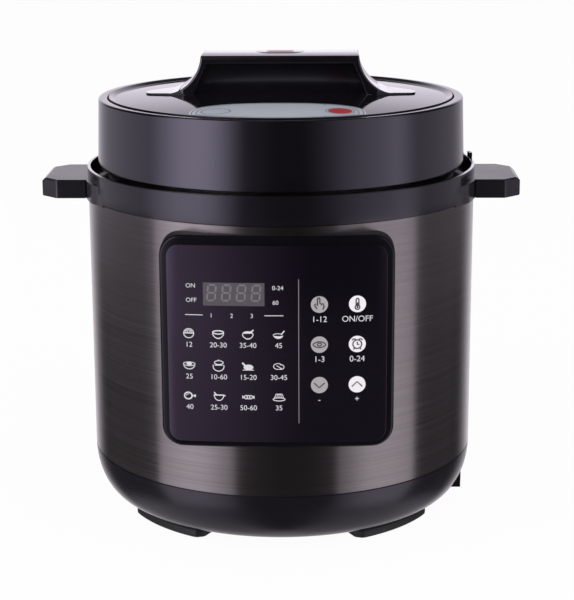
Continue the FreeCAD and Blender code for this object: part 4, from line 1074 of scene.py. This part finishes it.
def silvered(name, dark, light):
    """Metallised film: pale, softly shining, with fine streaks across it."""
    material, shader, wire = new_finish(name, {"Metallic": 0.35, "IOR": 1.45})
    streaks = grain(wire, 1.0, 4.0, (60, 900, 60))
    streaks.blend((*dark, 1), (*light, 1)).into(shader, "Base Color")
    (0.42 + 0.16 * (streaks - 0.5)).into(shader, "Roughness")
    streaks.emboss(shader, 0.4, 0.004)
    return material


leaf = Ink()
back_edge, front_edge = leaf_outline(0)
rows = [[(x, y + (end - y) * k / LEAF_ROWS) for (x, y), (_, end) in zip(back_edge, front_edge)]
        for k in range(LEAF_ROWS + 1)]
for row, after in zip(rows, rows[1:]):
    for i in range(len(row) - 1):
        leaf.fill([row[i], row[i + 1], after[i + 1], after[i]])
silver = silvered("silvered film", (0.52, 0.56, 0.64), (0.68, 0.72, 0.8))
leaf.lay("lens_plate", silver, on_cover, "lid", "panel_film")


def on_leaf(x, y):
    """A point of print on the leaf."""
    return on_cover(x, y, LEAF_THICK + PRINT_OUT)


border = Ink()
for margin in LEAF_BORDERS:
    back_edge, front_edge = leaf_outline(margin)
    border.line(back_edge + front_edge[::-1], FINE_LINE, True)
border.ring(*OVAL_PLACE, OVAL_WIDE, OVAL_TALL)
border.line(LEAF_RULE, FINE_LINE)
border.ring(*SPOT_PLACE, SPOT_RING, SPOT_RING, FINE_LINE)
line_ink = screen_ink("line ink", (0.05, 0.05, 0.06), (0.08, 0.08, 0.09), glow=0.0)
border.lay("lens_lines", line_ink, on_leaf, "lid", "panel_film")
spot = Ink()
spot.disc(*SPOT_PLACE, SPOT_RADIUS, SPOT_RADIUS)
red_ink = screen_ink("red ink", (0.36, 0.012, 0.018), (0.46, 0.022, 0.028), glow=0.0)
spot.lay("lens_spot", red_ink, on_leaf, "lid", "panel_film")


# Bridge handle: a strap on a flared saddle, moulded in black plastic and screwed from below.
# Fingers go into a well on each side of its web.

HANDLE_EDGE = 1.2
HANDLE_CREASE = 24
SHADE_CREASE = 44
STRAP_LOW = 322.0
WEB_HALF = 19.0
SADDLE_TOP = 302.5
ROOT_START = 66.0
STRAP_LEVEL = 0.9
ROOT_TILT = 0.3
ROOT_TURN = 0.7
handle_gloss = moulded(
    "handle plastic", (0.004, 0.0035, 0.005), (0.007, 0.006, 0.008), roughness=0.14, spread=0.04,
    grain_size=1.5, depth=0.003,
    **violet(1.9), **{"Coat Weight": 1.0, "Coat Roughness": 0.08})


def frame_edge(first, last):
    """True for the long edges on the handle's front and back, above the cover."""
    return min(abs(first.y), abs(last.y)) > WEB_HALF and max(first.z, last.z) > SADDLE_TOP


handle = eased(
    "bridge", "lid_handle", HANDLE_EDGE, handle_gloss, "lid", HANDLE_CREASE, frame_edge)
handle.data.set_sharp_from_angle(angle=math.radians(SHADE_CREASE))
keep_flat(handle, FLAT_AREA)
handle.data.materials.append(socket_matt)
for face in handle.data.polygons:
    if face.normal.z > STRAP_LEVEL and face.center.z > STRAP_LOW * MM:
        face.use_smooth = False
    turned = abs(face.normal.z) < ROOT_TILT < abs(face.normal.x) < ROOT_TURN
    if turned and abs(face.center.x) > ROOT_START * MM:
        face.material_index = 1


# Release button: a capsule sunk in the strap's top, on a stem down to the lever.
# A red mark is set in its face.

MARK_HALF = 6.5
MARK_RADIUS = 3.2
MARK_OUT = 0.05
eased("button", "release_button", 0.4, handle_gloss, "release_button")
button_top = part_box("release_button")[1][2] / MM
mark = Ink()
mark.fill(arc(MARK_HALF, 0, MARK_RADIUS, MARK_RADIUS, -90, 90, 10) + arc(
    -MARK_HALF, 0, MARK_RADIUS, MARK_RADIUS, 90, 270, 10))
mark.lay("button_mark", red_ink, lambda x, y: (x, y, button_top + MARK_OUT), "release_button", "panel_film")
dress(socket_matt, "release_lever")


# Steam vent cap and float: the cap covers the exhaust at the back of the lid.
# The float's pin shows in its hole when there is pressure.

eased("vent_cap", "steam_vent_cap", 0.6, grip_satin, "lid")
eased("float_pin", "float_valve", 0.5, pressed, "float_valve")


# Stage: a white sweep with soft light from both sides and above.
# The camera stands where the photograph was taken.

SWEEP_HALF = 8.0
SWEEP_DROP = 0.2
SWEEP_GLOW = 0.96
ROOM_LIGHT = 0.55
LAMP_WIDE = 1.2
LAMP_TALL = 1.6
LAMP_OUT = 1.5
LAMP_FRONT = -1.3
LAMP_HIGH = 1.3
LAMP_AIM = Vector((0, 0, 0.15))
LAMP_WATTS = ((-1, 24), (1, 16))
VIEW_TURN = math.radians(1.3)
VIEW_DOWN = math.radians(14.235)
VIEW_ROLL = math.radians(-0.3)
VIEW_DISTANCE = 1.238
VIEW_HEIGHT = 0.4595
VIEW_LENS = 104.48
VIEW_SENSOR = 36
VIEW_SHIFT = 0.0088


def studio_world():
    """White to the camera; to gloss, a dark room with cards and boxes by bearing and height in degrees."""
    world = bpy.data.worlds.new("studio")
    bpy.context.scene.world = world
    world.use_nodes = True
    tree = world.node_tree
    wire = Wire(tree)
    way = wire.node("ShaderNodeTexCoord", {}, {}, "Generated")
    parts = [wire.node("ShaderNodeSeparateXYZ", {}, {0: way}, i) for i in range(3)]
    turn = wire.math("ARCTAN2", parts[0], 0 - parts[1]) * (180 / math.pi)
    rise = wire.math("ARCSINE", parts[2], 0.0) * (180 / math.pi)

    def step(value, start, end):
        return wire.node("ShaderNodeMapRange", {"interpolation_type": "SMOOTHSTEP"}, {
            0: value, 1: start, 2: end, 3: 0.0, 4: 1.0})

    def between(start, full, fade, end):
        return step(turn, start, full) - step(turn, fade, end)

    # Cards stand low on both sides, and tall boxes above them
    away = wire.math("ABSOLUTE", turn, 0.0)
    high = step(rise, -14, -9)
    low = step(rise, -46, -32)
    left = between(-80, -77, -30, -25) * (0.7 + 0.3 * step(turn, -84, -56))
    left = left * (1 - 0.55 * step(turn, -52, -26))
    right = between(32, 37, 85, 90) * (0.4 + 0.6 * step(turn, 36, 58))
    right = right * (1 - 0.2 * step(turn, 64, 86))
    cards = low * (1 - high) * (left + right)
    tall = high * (1 - step(rise, 34, 60))
    boxes = tall * (1.95 * between(-88, -56, -48, -18) + 0.72 * between(12, 68, 72, 96))
    # A wall at the horizon, light from the floor, a halo and the room behind
    wall = high * (1 - step(rise, -3, 3))
    sides = 0.022 * (step(away, 60, 84) - step(away, 122, 128)) + wall * (
        0.5 * (1 - step(turn, -84, -60)) + 0.34 * step(turn, 60, 84))
    under = 0.45 * (1 - low) * step(away, 8, 62)
    halo = 0.1 * step(rise, -19, -12) * between(-46, -26, -24, 2)
    rear = (0.25 + 0.65 * low - 0.6 * wall + 0.32 * step(rise, -3, 3)) * step(away, 134, 166)
    fade = 1 - 0.32 * step(rise, 9, 18) - 0.63 * step(rise, 19, 32)
    shine = 0.007 + 0.05 * (1 - high) + 1.2 * cards + boxes + sides + under + halo + rear * fade
    seen, glossy, through = (wire.node("ShaderNodeLightPath", {}, {}, name) for name in (
        "Is Camera Ray", "Is Glossy Ray", "Is Transmission Ray"))
    mirrored = wire.math("MAXIMUM", glossy, through)
    strength = seen + (1 - seen) * (mirrored * shine + (1 - mirrored) * ROOM_LIGHT)
    strength.into(tree.nodes["Background"], "Strength")
    tint = mirrored.blend((1, 1, 1, 1), high.blend((0.99, 0.94, 1, 1), (0.95, 0.89, 1, 1)))
    tint.into(tree.nodes["Background"], "Color")


def floor_finish():
    """White to the camera, with a trace of plain paint left in it to hold the shadow."""
    material, shader, wire = new_finish("white sweep", {"Roughness": 0.9})
    tree = material.node_tree
    cloud = grain(wire, 3.0)
    cloud.blend((0.90, 0.90, 0.90, 1), (0.93, 0.93, 0.93, 1)).into(shader, "Base Color")
    glow = tree.nodes.new("ShaderNodeEmission")
    mix = tree.nodes.new("ShaderNodeMixShader")
    seen = wire.node("ShaderNodeLightPath", {}, {}, "Is Camera Ray")
    tree.links.new((SWEEP_GLOW * seen).socket, mix.inputs[0])
    tree.links.new(shader.outputs[0], mix.inputs[1])
    tree.links.new(glow.outputs[0], mix.inputs[2])
    tree.links.new(mix.outputs[0], tree.nodes["Material Output"].inputs["Surface"])
    return material


studio_world()
mesh = bpy.data.meshes.new("sweep")
ways = ((-1, -1), (1, -1), (1, 1), (-1, 1))
corners = [(x * SWEEP_HALF, y * SWEEP_HALF, -SWEEP_DROP * MM) for x, y in ways]
mesh.from_pydata(corners, [], [(0, 1, 2, 3)])
sweep = placed("sweep", mesh)
mesh.materials.append(floor_finish())
sweep.visible_glossy = False

for side, watts in LAMP_WATTS:
    lamp = bpy.data.lights.new("softbox", "AREA")
    lamp.shape = "RECTANGLE"
    lamp.size, lamp.size_y = LAMP_WIDE, LAMP_TALL
    lamp.energy = watts
    stand = placed("softbox", lamp)
    stand.location = (side * LAMP_OUT, LAMP_FRONT, LAMP_HIGH)
    stand.rotation_euler = (LAMP_AIM - stand.location).to_track_quat("-Z", "Y").to_euler()
    stand.visible_glossy = False

camera = placed("camera", bpy.data.cameras.new("camera"))
camera.location = (VIEW_DISTANCE * math.sin(VIEW_TURN), -VIEW_DISTANCE * math.cos(VIEW_TURN), VIEW_HEIGHT)
camera.rotation_euler = (Matrix.Rotation(VIEW_TURN, 3, "Z") @ Matrix.Rotation(
    math.pi / 2 - VIEW_DOWN, 3, "X") @ Matrix.Rotation(VIEW_ROLL, 3, "Z")).to_euler()
camera.data.sensor_width = VIEW_SENSOR
camera.data.lens = VIEW_LENS
camera.data.shift_x = VIEW_SHIFT
bpy.context.scene.camera = camera
bpy.context.scene.view_settings.view_transform = "Standard"
